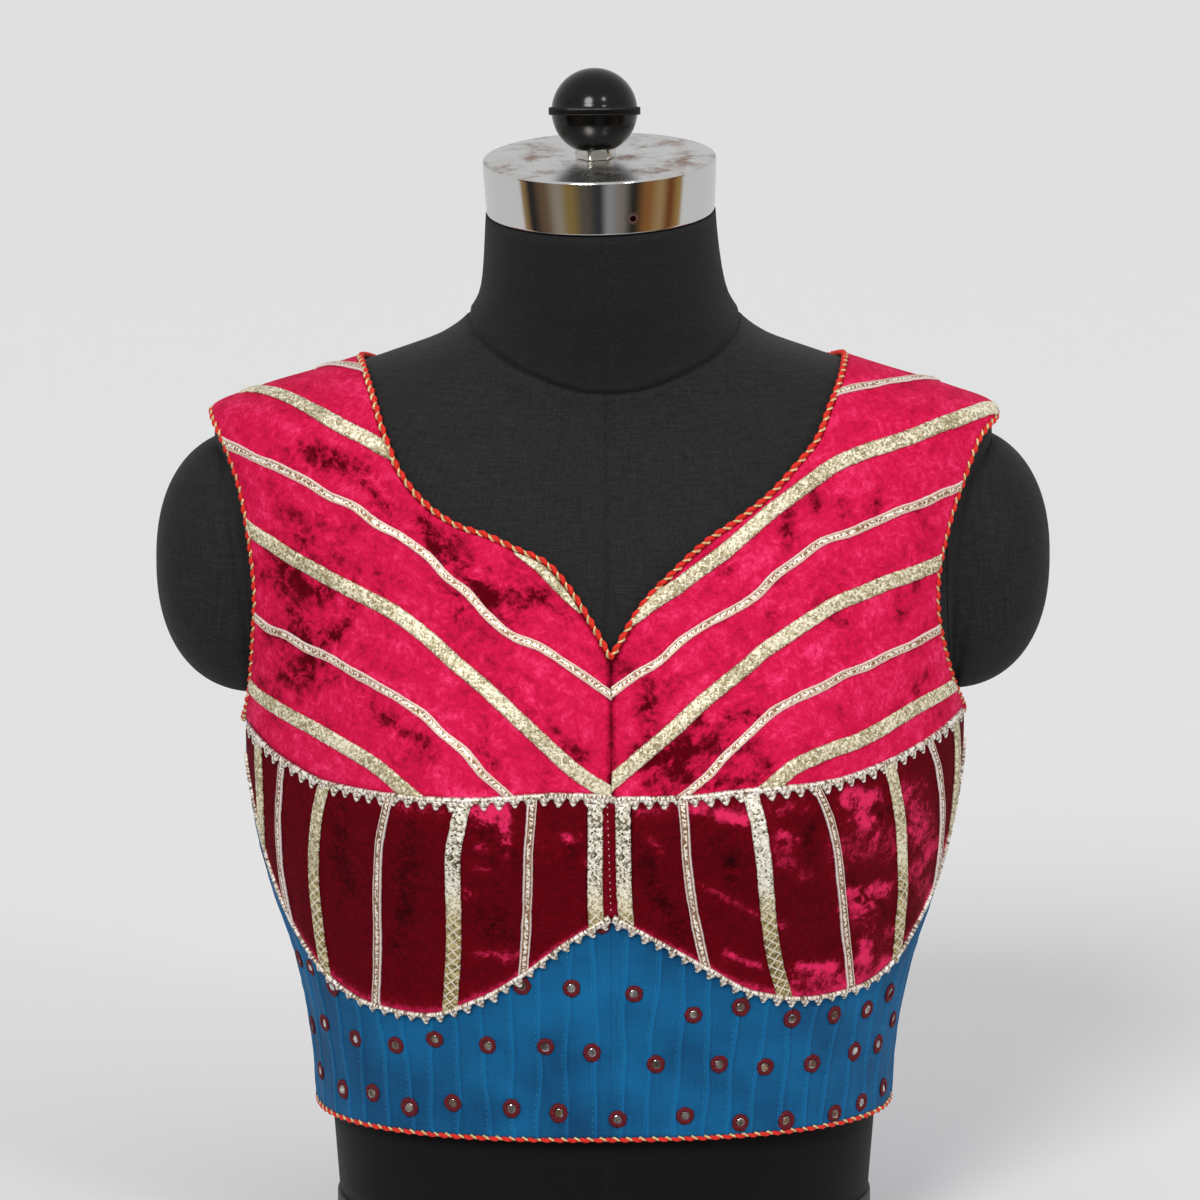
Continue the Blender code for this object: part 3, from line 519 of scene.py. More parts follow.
def ramp(tree, value, low, high):
    """0 to 1 while the value goes from low to high, eased at both ends."""
    made = node(tree, "MapRange", value, low, high, 0.0, 1.0,
                settings={"interpolation_type": "SMOOTHSTEP"})
    return made.outputs[0]


def blend(tree, factor, a, b):
    """Mix two colours."""
    made = tree.nodes.new("ShaderNodeMix")
    made.data_type = "RGBA"
    feed(tree, zip((made.inputs[0], made.inputs[6], made.inputs[7]), (factor, a, b)))
    return made.outputs[2]


def scaled(tree, vector, scale):
    """A coordinate stretched by three factors."""
    return node(tree, "VectorMath", vector, scale, settings={"operation": "MULTIPLY"}).outputs[0]


def cloud(tree, vector, scale, detail, roughness=0.5):
    """Soft noise round one half."""
    return node(tree, "TexNoise", Vector=vector, Scale=scale, Detail=detail,
                Roughness=roughness).outputs["Fac"]


def stored(tree, name):
    """The number of that name on the mesh's points."""
    return node(tree, "Attribute", settings={"attribute_name": name}).outputs["Fac"]


def group(name, inputs, outputs):
    """An empty node group with named sockets: (name, kind, value) rows."""
    tree = bpy.data.node_groups.new(name, "ShaderNodeTree")
    for label, kind, value in inputs:
        socket = tree.interface.new_socket(label, in_out="INPUT", socket_type="NodeSocket" + kind)
        if value is not None:
            socket.default_value = value
    for label, kind in outputs:
        tree.interface.new_socket(label, in_out="OUTPUT", socket_type="NodeSocket" + kind)
    return tree, tree.nodes.new("NodeGroupInput").outputs, tree.nodes.new("NodeGroupOutput").inputs


def use(tree, made, **named):
    """Place a group in a material and hand back its outputs."""
    return node(tree, "Group", settings={"node_tree": made}, **named).outputs


def plain_material(name, colour, roughness, metallic=0.0):
    """A Principled material with plain values on its own sockets."""
    material = bpy.data.materials.new(name)
    material.use_nodes = True
    shader = material.node_tree.nodes["Principled BSDF"]
    shader.inputs["Base Color"].default_value = (*colour, 1.0)
    shader.inputs["Roughness"].default_value = roughness
    shader.inputs["Metallic"].default_value = metallic
    return material


def finish(name, roughness, metallic=0.0, **plain):
    """A new material: its tree, its shader and its two coordinates."""
    material = plain_material(name, (0.5, 0.5, 0.5), roughness, metallic)
    tree = material.node_tree
    shader = tree.nodes["Principled BSDF"]
    for key, value in plain.items():
        shader.inputs[key.replace("_", " ")].default_value = value
    place = tree.nodes.new("ShaderNodeTexCoord").outputs
    MATERIALS[name] = material
    return tree, shader, place["Object"], place["UV"]


def colour_by(tree, shader, value):
    """Send a colour to Base Color."""
    tree.links.new(value, shader.inputs["Base Color"])


def bump_by(tree, shader, height, strength, distance):
    """Send a height through Bump to Normal; the distance is in millimetres."""
    bump = node(tree, "Bump", Height=height, Strength=strength, Distance=distance * MM)
    tree.links.new(bump.outputs[0], shader.inputs["Normal"])


def rgb(red, green, blue):
    """A colour as seen on screen, 0 to 255, as linear light with alpha."""
    seen = np.array([red, green, blue]) / 255
    light = np.where(seen <= 0.04045, seen / 12.92, ((seen + 0.055) / 1.055) ** 2.4)
    return (*light.tolist(), 1.0)


print("node helpers ready")

# %% [markdown]
# ## Stage, camera and light
#
# The form stands on a plain pale floor. The camera is far away with a long
# lens, a little above the form and looking down on it, so the neck cap shows
# its top while the hem hardly curves. Two wide suns, one on each side of the
# camera, light the cloth and the floor evenly, and a small lamp near the
# camera gives the knob, the cap and the pile their gleam.

# %% Camera
CAMERA_TURN = -1.8          # degrees round from straight in front
CAMERA_FALL = 9.94          # degrees that the camera looks down
CAMERA_AWAY = 3500.0        # mm from the form's axis
NECK_HEIGHT = 530.0         # mm, the level from which the next angle rises
SIGHT_RISE = 6.5            # degrees from there up to the camera
# focal length, width of the frame and the axis in it, all in pixels
FOCUS_PIXELS, IMAGE_PIXELS, CENTRE_PIXEL = 7387.0, 1200.0, 604.0

swing, slope = np.radians(CAMERA_TURN), np.radians(CAMERA_FALL)
eye = np.array([
    CAMERA_AWAY * np.sin(swing), AXIS_Y - CAMERA_AWAY * np.cos(swing),
    NECK_HEIGHT + CAMERA_AWAY * np.tan(np.radians(SIGHT_RISE))]) * MM
lens = bpy.data.cameras.new("camera")
lens.sensor_width = 36.0
lens.lens = FOCUS_PIXELS / IMAGE_PIXELS * lens.sensor_width
lens.shift_x = (IMAGE_PIXELS / 2 - CENTRE_PIXEL) / IMAGE_PIXELS
lens.clip_end = 60.0
camera = bpy.data.objects.new("camera", lens)
camera.location = eye
camera.rotation_euler = (np.pi / 2 - slope, 0, swing)
bpy.context.scene.collection.objects.link(camera)
bpy.context.scene.camera = camera
print("lens", round(lens.lens, 1), "mm, camera at", eye.round(3))

# %% Floor and lights
floor_mesh = bpy.data.meshes.new("floor")
floor_mesh.from_pydata([(-14, -6, 0), (14, -6, 0), (14, 26, 0), (-14, 26, 0)], [], [(0, 1, 2, 3)])
floor = bpy.data.objects.new("floor", floor_mesh)
paper = plain_material("floor_paper", (0.785, 0.778, 0.772), 0.9)
tree = paper.node_tree
through_it = node(tree, "MixShader", node(tree, "LightPath").outputs["Is Glossy Ray"],
                  tree.nodes["Principled BSDF"].outputs[0],
                  node(tree, "BsdfTransparent").outputs[0])
tree.links.new(through_it.outputs[0], tree.nodes["Material Output"].inputs["Surface"])
floor_mesh.materials.append(paper)
bpy.context.scene.collection.objects.link(floor)
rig.stage(floor)


def aimed(name, kind, place, aim, watts, size, colour=(1, 1, 1), mirrored=True):
    """A light at a place, turned toward a point, in metres. A sun's size is
    the angle that it fills, and an area lamp's the side of its square. A
    lamp that is not mirrored never shows as a white patch in the metal."""
    data = bpy.data.lights.new(name, kind)
    data.energy = watts
    data.color = colour
    if kind == "SUN":
        data.angle = np.radians(size)
    else:
        data.size = size
    lamp = bpy.data.objects.new(name, data)
    lamp.location = place
    lamp.visible_glossy = mirrored
    away = np.array(place) - np.array(aim)
    lamp.rotation_euler = (
        np.arctan2(np.hypot(away[0], away[1]), away[2]), 0,
        np.arctan2(away[0], -away[1]))
    bpy.context.scene.collection.objects.link(lamp)


aimed("key", "SUN", (-1.1, -3.0, 2.3), (0, 0, 0.3), 1.66, 20, (1.0, 0.985, 0.96))
aimed("fill", "SUN", (2.6, -2.4, 1.6), (0, 0, 0.3), 0.74, 60, mirrored=False)
aimed("gleam", "AREA", (1.10, -2.07, 2.27), (0, 0, 0.55), 8, 0.35)

# %% Room behind the camera
# What polished metal shows: a pale studio all round, and behind the camera a
# darker room with brown, gold and black uprights. Seen directly, the studio
# is one plain pale colour.
STUDIO, PALE = (0.95, 0.97, 1.0), 0.64
ROOM_ANGLE = 4.49           # radians that the table of uprights spans
world = bpy.data.worlds.new("studio")
world.use_nodes = True
tree = world.node_tree
east, north, up = node(tree, "SeparateXYZ", node(tree, "TexCoord").outputs["Generated"]).outputs
bearing = maths(tree, "ARCTAN2", east, maths(tree, "MULTIPLY", north, -1.0))
across_room = maths(tree, "ADD", maths(tree, "DIVIDE", bearing, ROOM_ANGLE), 0.5)
uprights = node(tree, "ValToRGB", across_room)
uprights.color_ramp.interpolation = "EASE"
# place across the room, colour
ROOM = (
    (0.00, STUDIO), (0.145, STUDIO), (0.165, (0.42, 0.27, 0.12)),
    (0.20, (0.03, 0.03, 0.035)), (0.26, (0.20, 0.13, 0.08)), (0.32, (0.42, 0.37, 0.30)),
    (0.37, (0.34, 0.24, 0.08)), (0.43, (0.14, 0.12, 0.10)), (0.49, (0.05, 0.05, 0.06)),
    (0.53, (0.40, 0.40, 0.42)), (0.58, (0.30, 0.27, 0.24)), (0.63, (0.04, 0.035, 0.03)),
    (0.69, (0.36, 0.16, 0.05)), (0.745, (0.50, 0.33, 0.16)), (0.79, (0.24, 0.08, 0.03)),
    (0.835, (0.48, 0.30, 0.10)), (0.86, STUDIO), (1.00, STUDIO),
)
marks = uprights.color_ramp.elements
while len(marks) < len(ROOM):
    marks.new(0.5)
for stop, (position, colour) in zip(marks, ROOM):
    stop.position = position
    stop.color = (*colour, 1.0)
# the uprights fade out above and below a band of heights
off_band = maths(tree, "SUBTRACT", maths(tree, "ABSOLUTE", maths(tree, "ADD", up, 0.22)), 0.44)
off_band = node(tree, "Clamp", maths(tree, "MULTIPLY", off_band, 7.0)).outputs[0]
studio = maths(tree, "MAXIMUM", off_band, node(tree, "LightPath").outputs["Is Camera Ray"])
sky = blend(tree, studio, uprights.outputs[0], (*STUDIO, 1.0))
tree.links.new(sky, tree.nodes["Background"].inputs["Color"])
tree.nodes["Background"].inputs["Strength"].default_value = PALE
bpy.context.scene.world = world
bpy.context.scene.view_settings.view_transform = "Standard"
print("stage set")

# %% [markdown]
# ## Shared finishes
#
# Parts of a finish that several materials need are node groups: a crushed
# pile, a grain of metal foil, a thread weave. Each group only puts out
# colours, masks and heights. The Principled shader stays in the material, and
# its plain values, such as sheen, are set on it directly.
#
# ### Crushed velvet
#
# Velvet is a cloth with a dense upright pile. When it is crushed, the pile
# lies over in patches, and each patch is either bright, where it leans toward
# the light, or dark. Handling strokes it up and outward, so the patches are
# drawn out along that way. The colour paints that light and shade, following
# how the pile leans: streaks 30 by 10 mm, a mottle of 5 mm and flecks of 2
# and 1 mm. A shade value stored on the mesh adds painted shade in the listed
# creases, and painted highlights and shade along the listed strokes.

# %% Group: how the pile lies
nap, put, get = group(
    "nap",
    [("Vector", "Vector", None), ("Shade", "Float", 0.0), ("Deep", "Color", None),
     ("Middle", "Color", None), ("Bright", "Color", None), ("Crush", "Float", 1.0)],
    [("Colour", "Color"), ("Height", "Float"), ("Rough", "Float")])
where = node(nap, "SeparateXYZ", put["Vector"]).outputs
both = node(nap, "CombineXYZ", maths(nap, "ABSOLUTE", where[0]), where[1], where[2]).outputs[0]
stroked = node(nap, "VectorRotate", Vector=both, Angle=np.radians(35.0),
               settings={"rotation_type": "Y_AXIS"}).outputs[0]
wander = node(nap, "TexNoise", Vector=put["Vector"], Scale=70.0, Detail=2.0).outputs["Color"]
wander = node(nap, "VectorMath", wander, (0.5, 0.5, 0.5), settings={"operation": "SUBTRACT"})
wander = scaled(nap, wander.outputs[0], (0.011, 0.011, 0.011))
crushed_at = node(nap, "VectorMath", stroked, wander, settings={"operation": "ADD"}).outputs[0]


def layer(vector, scale, detail, gain):
    """Noise about nought, times a gain."""
    value = cloud(nap, vector, scale, detail, 0.6)
    return maths(nap, "MULTIPLY", maths(nap, "SUBTRACT", value, 0.5), gain)


streaks = layer(scaled(nap, crushed_at, (0.34, 0.6, 1.0)), 100.0, 4.0, 2.6)
mottle = layer(crushed_at, 210.0, 3.0, 1.7)
pile = layer(put["Vector"], 1100.0, 2.0, 0.5)
lean = maths(nap, "MULTIPLY", maths(nap, "ADD", streaks, mottle), put["Crush"])
lean = maths(nap, "ADD", lean, layer(crushed_at, 420.0, 3.0, 0.55))
lean = maths(nap, "ADD", lean, pile)
lean = maths(nap, "ADD", maths(nap, "ADD", lean, 0.52), put["Shade"])
dark_to_middle = blend(nap, ramp(nap, lean, -0.25, 0.62), put["Deep"], put["Middle"])
nap_colour = blend(nap, ramp(nap, lean, 0.52, 1.15), dark_to_middle, put["Bright"])
nap.links.new(nap_colour, get["Colour"])
nap.links.new(maths(nap, "ADD", lean, pile), get["Height"])
nap.links.new(maths(nap, "SUBTRACT", 0.85, maths(nap, "MULTIPLY", lean, 0.25)), get["Rough"])


# %% Velvet materials
def velvet(name, deep, middle, bright):
    """Crushed velvet: sheen makes the pile glow at the edges of a form."""
    tree, shader, at, _ = finish(name, 0.85, Sheen_Weight=0.04, Sheen_Roughness=0.35,
                                 Specular_IOR_Level=0.05)
    shader.inputs["Sheen Tint"].default_value = rgb(255, 90, 150)
    look = use(tree, nap, Vector=at, Shade=stored(tree, "shade"), Deep=deep,
               Middle=middle, Bright=bright, Crush=stored(tree, "crush"))
    colour_by(tree, shader, look["Colour"])
    tree.links.new(look["Rough"], shader.inputs["Roughness"])
    bump_by(tree, shader, look["Height"], 0.4, 0.8)


velvet("velvet_magenta", rgb(84, 0, 12), rgb(200, 20, 68), rgb(240, 60, 118))
# painted shade: the magenta velvet again, darker, for the cups, which face down, and for the placket between them; its
# bright end gives the cups' painted glints
velvet("velvet_maroon", rgb(40, 0, 4), rgb(98, 0, 14), rgb(212, 38, 88))
print("velvet: magenta and maroon")

# %% [markdown]
# ### Cotton, jersey and threads
#
# The cotton is a plain weave: one thread over, one under. Two crossed waves
# give its height, and slow noise makes some threads a little paler, as
# hand-dyed cotton is. The jersey on the form is knitted, so it shows fine
# level ribs.


# %% Group: plain weave from the UV map, in metres
weave, put, get = group(
    "weave",
    [("Vector", "Vector", None), ("Across", "Float", 0.0009), ("Along", "Float", 0.0009)],
    [("Height", "Float"), ("Slub", "Float")])
parts = node(weave, "SeparateXYZ", put["Vector"]).outputs
warp, weft = (
    maths(weave, "SINE", maths(weave, "DIVIDE", maths(weave, "MULTIPLY", way, 2 * np.pi), size))
    for way, size in ((parts[0], put["Across"]), (parts[1], put["Along"])))
weave.links.new(maths(weave, "MULTIPLY", warp, weft), get["Height"])
down = cloud(weave, scaled(weave, put["Vector"], (900.0, 60.0, 0.0)), 1.0, 1.0)
over = cloud(weave, scaled(weave, put["Vector"], (60.0, 900.0, 0.0)), 1.0, 1.0)
weave.links.new(maths(weave, "MULTIPLY", maths(weave, "ADD", down, over), 0.5), get["Slub"])

# %% Cotton and jersey materials
tree, shader, at, uv = finish("cotton_teal", 0.85, Sheen_Weight=0.05, Specular_IOR_Level=0.15)
cloth = use(tree, weave, Vector=uv, Across=0.0009, Along=0.0008)
# the stored shade is the tucks' painted highlights and painted shade; the slub and the slow cloud are the dye's own
# unevenness
tone = maths(tree, "MULTIPLY_ADD", cloth["Slub"], 0.35, stored(tree, "shade"))
tone = maths(tree, "MULTIPLY_ADD", cloud(tree, at, 28.0, 2.0), 0.85, tone)
colour_by(tree, shader, blend(tree, ramp(tree, tone, 0.2, 1.0), rgb(3, 54, 93), rgb(7, 98, 148)))
bump_by(tree, shader, cloth["Height"], 0.35, 0.12)

tree, shader, at, uv = finish("jersey_black", 0.75, Sheen_Weight=0.04, Specular_IOR_Level=0.25)
cloth = use(tree, weave, Vector=uv, Across=0.0011, Along=0.0011)
height = node(tree, "SeparateXYZ", at).outputs[2]
rib = maths(tree, "SINE", maths(tree, "MULTIPLY", height, 4200.0))
knit = maths(tree, "MULTIPLY_ADD", rib, 0.5, cloth["Height"])
dust = maths(tree, "MULTIPLY", cloud(tree, at, 700.0, 2.0), 0.5)
tone = maths(tree, "MULTIPLY_ADD", cloth["Slub"], 0.6, dust)
worn = blend(tree, ramp(tree, tone, 0.35, 0.85), rgb(17, 17, 18), rgb(38, 38, 40))
worn = blend(tree, maths(tree, "MULTIPLY", stored(tree, "shade"), 0.5), worn, rgb(8, 8, 12))
# painted shade: the jersey goes nearly black from 12 cm down to 5 cm, low on the form
colour_by(tree, shader, blend(tree, ramp(tree, height, 0.05, 0.12), rgb(2, 2, 3), worn))
bump_by(tree, shader, knit, 0.5, 0.12)


# %% Group: fibres along a twisted thread
fibres, put, get = group(
    "fibres", [("Vector", "Vector", None), ("Lean", "Float", 1.0)],
    [("Height", "Float"), ("Tone", "Float")])
parts = node(fibres, "SeparateXYZ", put["Vector"]).outputs
run = maths(fibres, "MULTIPLY_ADD", parts[1], put["Lean"], parts[0])
lines = maths(fibres, "SINE", maths(fibres, "MULTIPLY", run, 9000.0))
fuzz = cloud(fibres, put["Vector"], 1500.0, 2.0)
fibres.links.new(maths(fibres, "MULTIPLY_ADD", fuzz, 2.0, lines), get["Height"])
fibres.links.new(fuzz, get["Tone"])


# %% Thread materials
def thread(name, dark, light, roughness, metallic=0.0, strength=0.5):
    """Thread wound or twisted, with fibres leaning across its length."""
    tree, shader, _, uv = finish(name, roughness, metallic, Specular_IOR_Level=0.3)
    twist = use(tree, fibres, Vector=uv, Lean=1.0)
    colour_by(tree, shader, blend(tree, ramp(tree, twist["Tone"], 0.35, 0.65), dark, light))
    bump_by(tree, shader, twist["Height"], strength, 0.08)


thread("cord_red", rgb(188, 22, 16), rgb(240, 52, 34), 0.55)
thread("cord_gold", rgb(205, 172, 100), rgb(255, 240, 190), 0.35, 0.5)
thread("ring_maroon", rgb(56, 0, 10), rgb(114, 10, 28), 0.7)
thread("stitch_blue", rgb(16, 104, 148), rgb(74, 160, 190), 0.7)
thread("stitch_pale", rgb(205, 150, 165), rgb(245, 215, 222), 0.7)
print(len(MATERIALS), "finishes so far")

# %% [markdown]
# ### Gota, the metal ribbon
#
# Gota is a ribbon woven from flat metal wire. Each wire end is a tiny mirror,
# so next to each other they look almost white and almost black. Random cells
# about a millimetre wide carry that sparkle as painted glints, and slow
# patches paint where the foil catches the light. The wide ribbon has a
# lattice of crossed threads over it. On the cups it is painted silver where
# it faces up to the light, and old gold with a stronger lattice where it
# turns away: a painted reflection. The narrow one has a golden brown middle
# with bars between two white cords, darker on the cups than on the yokes.

# %% Group: sparkling cells
spark, put, get = group(
    "spark", [("Vector", "Vector", None), ("Cell", "Float", 0.0007)],
    [("Value", "Float"), ("Height", "Float")])
size = maths(spark, "DIVIDE", 1.0, put["Cell"])
cells = node(spark, "TexVoronoi", Vector=put["Vector"], Scale=size).outputs
value = node(spark, "SeparateColor", cells["Color"]).outputs[0]
spark.links.new(value, get["Value"])
spark.links.new(maths(spark, "MULTIPLY_ADD", cells["Distance"], -0.6, value), get["Height"])


def stripes(tree, value, pitch, width):
    """1 on a stripe of that width once every pitch, 0 between."""
    phase = maths(tree, "FRACT", maths(tree, "DIVIDE", value, pitch))
    off = maths(tree, "ABSOLUTE", maths(tree, "SUBTRACT", phase, 0.5))
    return maths(tree, "SUBTRACT", 1.0, ramp(tree, off, 0.4 * width / pitch, 0.6 * width / pitch))


# %% The two ribbons and the lace
LATTICE = 5.4               # mm along the ribbon from thread to thread
# columns: pale foil for the yokes, then silver and old gold, painted reflections for the cups; rows from dark wires to
# bright ones
FOILS_AND_REFLECTIONS = (
    (rgb(146, 132, 94), rgb(86, 76, 52), rgb(112, 94, 56)),
    (rgb(200, 188, 152), rgb(228, 220, 200), rgb(152, 134, 86)),
    (rgb(244, 236, 210), rgb(255, 253, 244), rgb(200, 184, 134)),
)

tree, shader, at, uv = finish("gota_gold", 0.5, 0.3)
along, across, _ = node(tree, "SeparateXYZ", uv).outputs
grains = use(tree, spark, Vector=uv, Cell=0.00095)
# painted reflection: slow patches where the foil catches the light, over sparkle cells that are painted glints
patchy = maths(tree, "SUBTRACT", cloud(tree, at, 45.0, 2.0), 0.5)
tone = maths(tree, "MULTIPLY_ADD", patchy, 1.3, grains["Value"])
bare = stored(tree, "shade")
# painted reflection: a shade of 1 gives silver, -1 old gold, and 0 the pale yoke foil
gold_reflection = ramp(tree, bare, 0.0, -1.0)
low, middle, high = (blend(tree, gold_reflection, blend(tree, bare, pale, silver), gold)
                     for pale, silver, gold in FOILS_AND_REFLECTIONS)
foil = blend(tree, ramp(tree, tone, 0.1, 0.5), low, middle)
foil = blend(tree, ramp(tree, tone, 0.52, 0.8), foil, high)
lattice = maths(tree, "MAXIMUM", *(
    stripes(tree, maths(tree, way, along, across), LATTICE * MM, 0.0009)
    for way in ("ADD", "SUBTRACT")))
# the lattice shows more on the old gold, where the foil turns away from the light
strength = maths(tree, "MULTIPLY_ADD", gold_reflection, 0.55, 0.25)
colour_by(tree, shader, blend(tree, maths(tree, "MULTIPLY", lattice, strength), foil,
                              rgb(242, 236, 218)))
bump_by(tree, shader, maths(tree, "ADD", grains["Height"], lattice), 0.8, 0.25)

tree, shader, _, uv = finish("gota_rose", 0.45, 0.4)
along, across, _ = node(tree, "SeparateXYZ", uv).outputs
grains = use(tree, spark, Vector=uv, Cell=0.0008)
bars = stripes(tree, along, 0.0023, 0.0011)
off = maths(tree, "ABSOLUTE", across)
bare = stored(tree, "shade")
# the band is darker on the cups, where the shade is 1, than on the yokes; the white sequins are painted glints from
# the sparkle cells
band = blend(tree, grains["Value"], blend(tree, bare, rgb(186, 150, 118), rgb(120, 84, 58)),
             blend(tree, bare, rgb(226, 200, 170), rgb(192, 156, 124)))
sequins = blend(tree, ramp(tree, grains["Value"], 0.35, 0.55), rgb(140, 104, 76),
                rgb(255, 250, 240))
rose = blend(tree, ramp(tree, off, 0.0009, 0.0006), band, sequins)
colour_by(tree, shader, blend(tree, ramp(tree, off, 0.00145, 0.0017), rose, rgb(244, 230, 226)))
bump_by(tree, shader, maths(tree, "ADD", grains["Height"], bars), 0.7, 0.2)

tree, shader, _, uv = finish("lace_silver", 0.4, 0.4)
grains = use(tree, spark, Vector=uv, Cell=0.0007)
# painted glints: the sparkle cells turn the wire from brown to near white
wire = blend(tree, ramp(tree, grains["Value"], 0.1, 0.5), rgb(128, 106, 84), rgb(238, 224, 206))
wire = blend(tree, ramp(tree, grains["Value"], 0.55, 0.8), wire, rgb(255, 253, 248))
colour_by(tree, shader, wire)
bump_by(tree, shader, grains["Height"], 1.0, 0.3)
print("gota: gold and rose, and the lace's wire")

# %% [markdown]
# ### Metal, plastic and glass of the form
#
# The neck cap is plated steel, polished round the side and worn on top, where
# rust has come through in thin brown clouds. A small screw hole in its front
# has rusted too; the hole itself is only painted, a dark red spot of rust
# and painted shade. The knob is a glossy plastic ball. The tiny mirrors are
# silvered glass.

# %% Hard finishes
SCREW_HOLE = (0.2482, 0.0080, 0.0)    # its place on the cap's UV map, in metres

tree, shader, at, uv = finish("chrome", 0.1, 1.0)
height = node(tree, "SeparateXYZ", uv).outputs[1]
on_top = maths(tree, "MULTIPLY", ramp(tree, height, 0.0255, 0.0260),
               maths(tree, "LESS_THAN", height, 0.0264))
rust = maths(tree, "MULTIPLY", ramp(tree, cloud(tree, at, 45.0, 5.0, 0.7), 0.46, 0.72), on_top)
hole = node(tree, "VectorMath", uv, SCREW_HOLE,
            settings={"operation": "DISTANCE"}).outputs["Value"]
tinge = maths(tree, "MULTIPLY", ramp(tree, hole, 0.0040, 0.0012), 0.6)
scratches = cloud(tree, scaled(tree, at, (900.0, 900.0, 60.0)), 1.0, 2.0)
metal = blend(tree, rust, rgb(226, 224, 220), rgb(156, 124, 104))
metal = blend(tree, tinge, metal, rgb(150, 70, 56))
# the screw hole is only painted: dark red rust and painted shade within 1.2 mm of its centre
colour_by(tree, shader, blend(tree, ramp(tree, hole, 0.0016, 0.0012), metal, rgb(52, 8, 8)))
dull = 0.03
for mark, share in ((on_top, 0.18), (rust, 0.4), (tinge, 0.5), (scratches, 0.1)):
    dull = maths(tree, "MULTIPLY_ADD", mark, share, dull)
tree.links.new(dull, shader.inputs["Roughness"])

tree, shader, at, _ = finish("plastic_black", 0.2, 0.0, Specular_IOR_Level=0.2,
                             Coat_Weight=0.15, Coat_Roughness=0.08)
smears = cloud(tree, at, 90.0, 3.0)
colour_by(tree, shader, blend(tree, smears, rgb(5, 5, 5), rgb(15, 15, 15)))
tree.links.new(maths(tree, "MULTIPLY_ADD", smears, 0.14, 0.1), shader.inputs["Roughness"])

tree, shader, at, _ = finish("base_grey", 0.6)
speckle = cloud(tree, at, 400.0, 3.0)
colour_by(tree, shader, blend(tree, speckle, rgb(34, 35, 37), rgb(50, 51, 54)))
bump_by(tree, shader, speckle, 0.2, 0.2)

tree, shader, at, _ = finish("mirror_glass", 0.08, 0.9)
cloudy = ramp(tree, cloud(tree, at, 260.0, 2.0), 0.35, 0.65)
colour_by(tree, shader, blend(tree, cloudy, rgb(150, 140, 132), rgb(228, 226, 224)))
print(len(MATERIALS), "finishes in all")


# %% Dress a piece
def dress(obj, slot, *nodes, finish_name=None):
    """Give a piece its finish and its slot, and stand it for CAD solids."""
    if not obj.data.materials:
        obj.data.materials.append(MATERIALS[finish_name or slot])
    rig.slot(obj, slot)
    if nodes:
        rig.replaces(obj, *nodes)
    return obj

# %% [markdown]
# ## The dress form
#
# The form is a padded torso in a tight jersey skin. It is the section formula
# itself, drawn as a fine grid of angles and heights. A seam sinks a thin
# groove where the neck's skin is sewn on, and a faint one runs down the
# centre front. A real neck leans forward, and so does this one: its top is
# the tilted plane that the cap stands on.

# %% Torso skin
CAP_SEAT = np.array([-1.9, -10.0, 504.9])   # centre of the cap's underside
CAP_TILT, CAP_LEAN = 6.0, 1.5   # degrees forward, and up on the left
NECK_BEND_Z = 447.0


def leaning(p):
    """Bend the neck: with a share of 3t2 - 2t3 up its height, a point moves
    to the cap's side and rises by y tan(tilt) + x tan(lean)."""
    share = smoothstep(NECK_BEND_Z, CAP_SEAT[2], p[..., 2])
    rise = (p[..., 1] - CAP_SEAT[1]) * np.tan(np.radians(CAP_TILT))
    rise = rise + p[..., 0] * np.tan(np.radians(CAP_LEAN))
    return p + share[..., None] * joined(CAP_SEAT[0], 0.0, rise)


angles = np.linspace(0, 360, 180, endpoint=False)
heights = np.concatenate([np.linspace(26.3, 378, 50), np.linspace(380, 420, 21),
                          np.linspace(421.5, 462, 41), np.linspace(465, 504.6, 10)])
skin = FORM.around(angles[None, :], heights[:, None])
quarter = np.sin(np.radians(angles)) ** 2
ahead = np.cos(np.radians(angles)) > 0
neck_seam = np.where(ahead, 424 + 32 * quarter ** 1.1, 442 + 14 * quarter)
off_seam = heights[:, None] - neck_seam
groove = -1.7 * np.exp(-(off_seam / 0.9) ** 2) + 0.8 * smoothstep(0, 2.0, off_seam)
turned = np.minimum(angles, 360 - angles)
groove -= 0.35 * np.exp(-(turned / 0.55) ** 2) * smoothstep(423, 418, heights)[:, None]
skin = leaning(FORM.lift(skin, groove))
skin_uv = joined(np.radians(angles) * 150 * MM, heights[:, None] * MM)


def tube_mesh(name, grid, uv=None, flip=False):
    """Rings of points joined by quads, with one many-sided face over the
    first ring and one over the last. A grid worked out the other way round
    has its faces flipped."""
    rows, columns = grid.shape[:2]
    faces = grid_faces(rows, columns, True).tolist()
    faces += [[*range(columns)][::-1], [*range((rows - 1) * columns, rows * columns)]]
    if flip:
        faces = [face[::-1] for face in faces]
    mesh = bpy.data.meshes.new(name)
    points = (grid.reshape(-1, 3) + (0, AXIS_Y, 0)) * MM
    mesh.from_pydata(points.tolist(), [], faces)
    if uv is not None:
        lay_uv(mesh, uv)
    mesh.shade_smooth()
    return mesh


def shaded(obj, values, name="shade"):
    """Store one number for each point, for the finish to read."""
    layer = obj.data.attributes.new(name, "FLOAT", "POINT")
    layer.data.foreach_set("value", np.asarray(values, float).ravel())


torso = add("dress_form_torso", tube_mesh("torso", skin, skin_uv))
shaded(torso, smoothstep(-0.5, 0.5, off_seam))
dress(torso, "jersey_black", "form_torso")
print("torso:", skin.size // 3, "points")

# %% Arm caps
ARM_RADII = np.array([50.0, 38.0, 64.0])
ARM_CENTRE = np.array([165.0, 6.0, 335.0])
ARM_SQUARE = 2.3


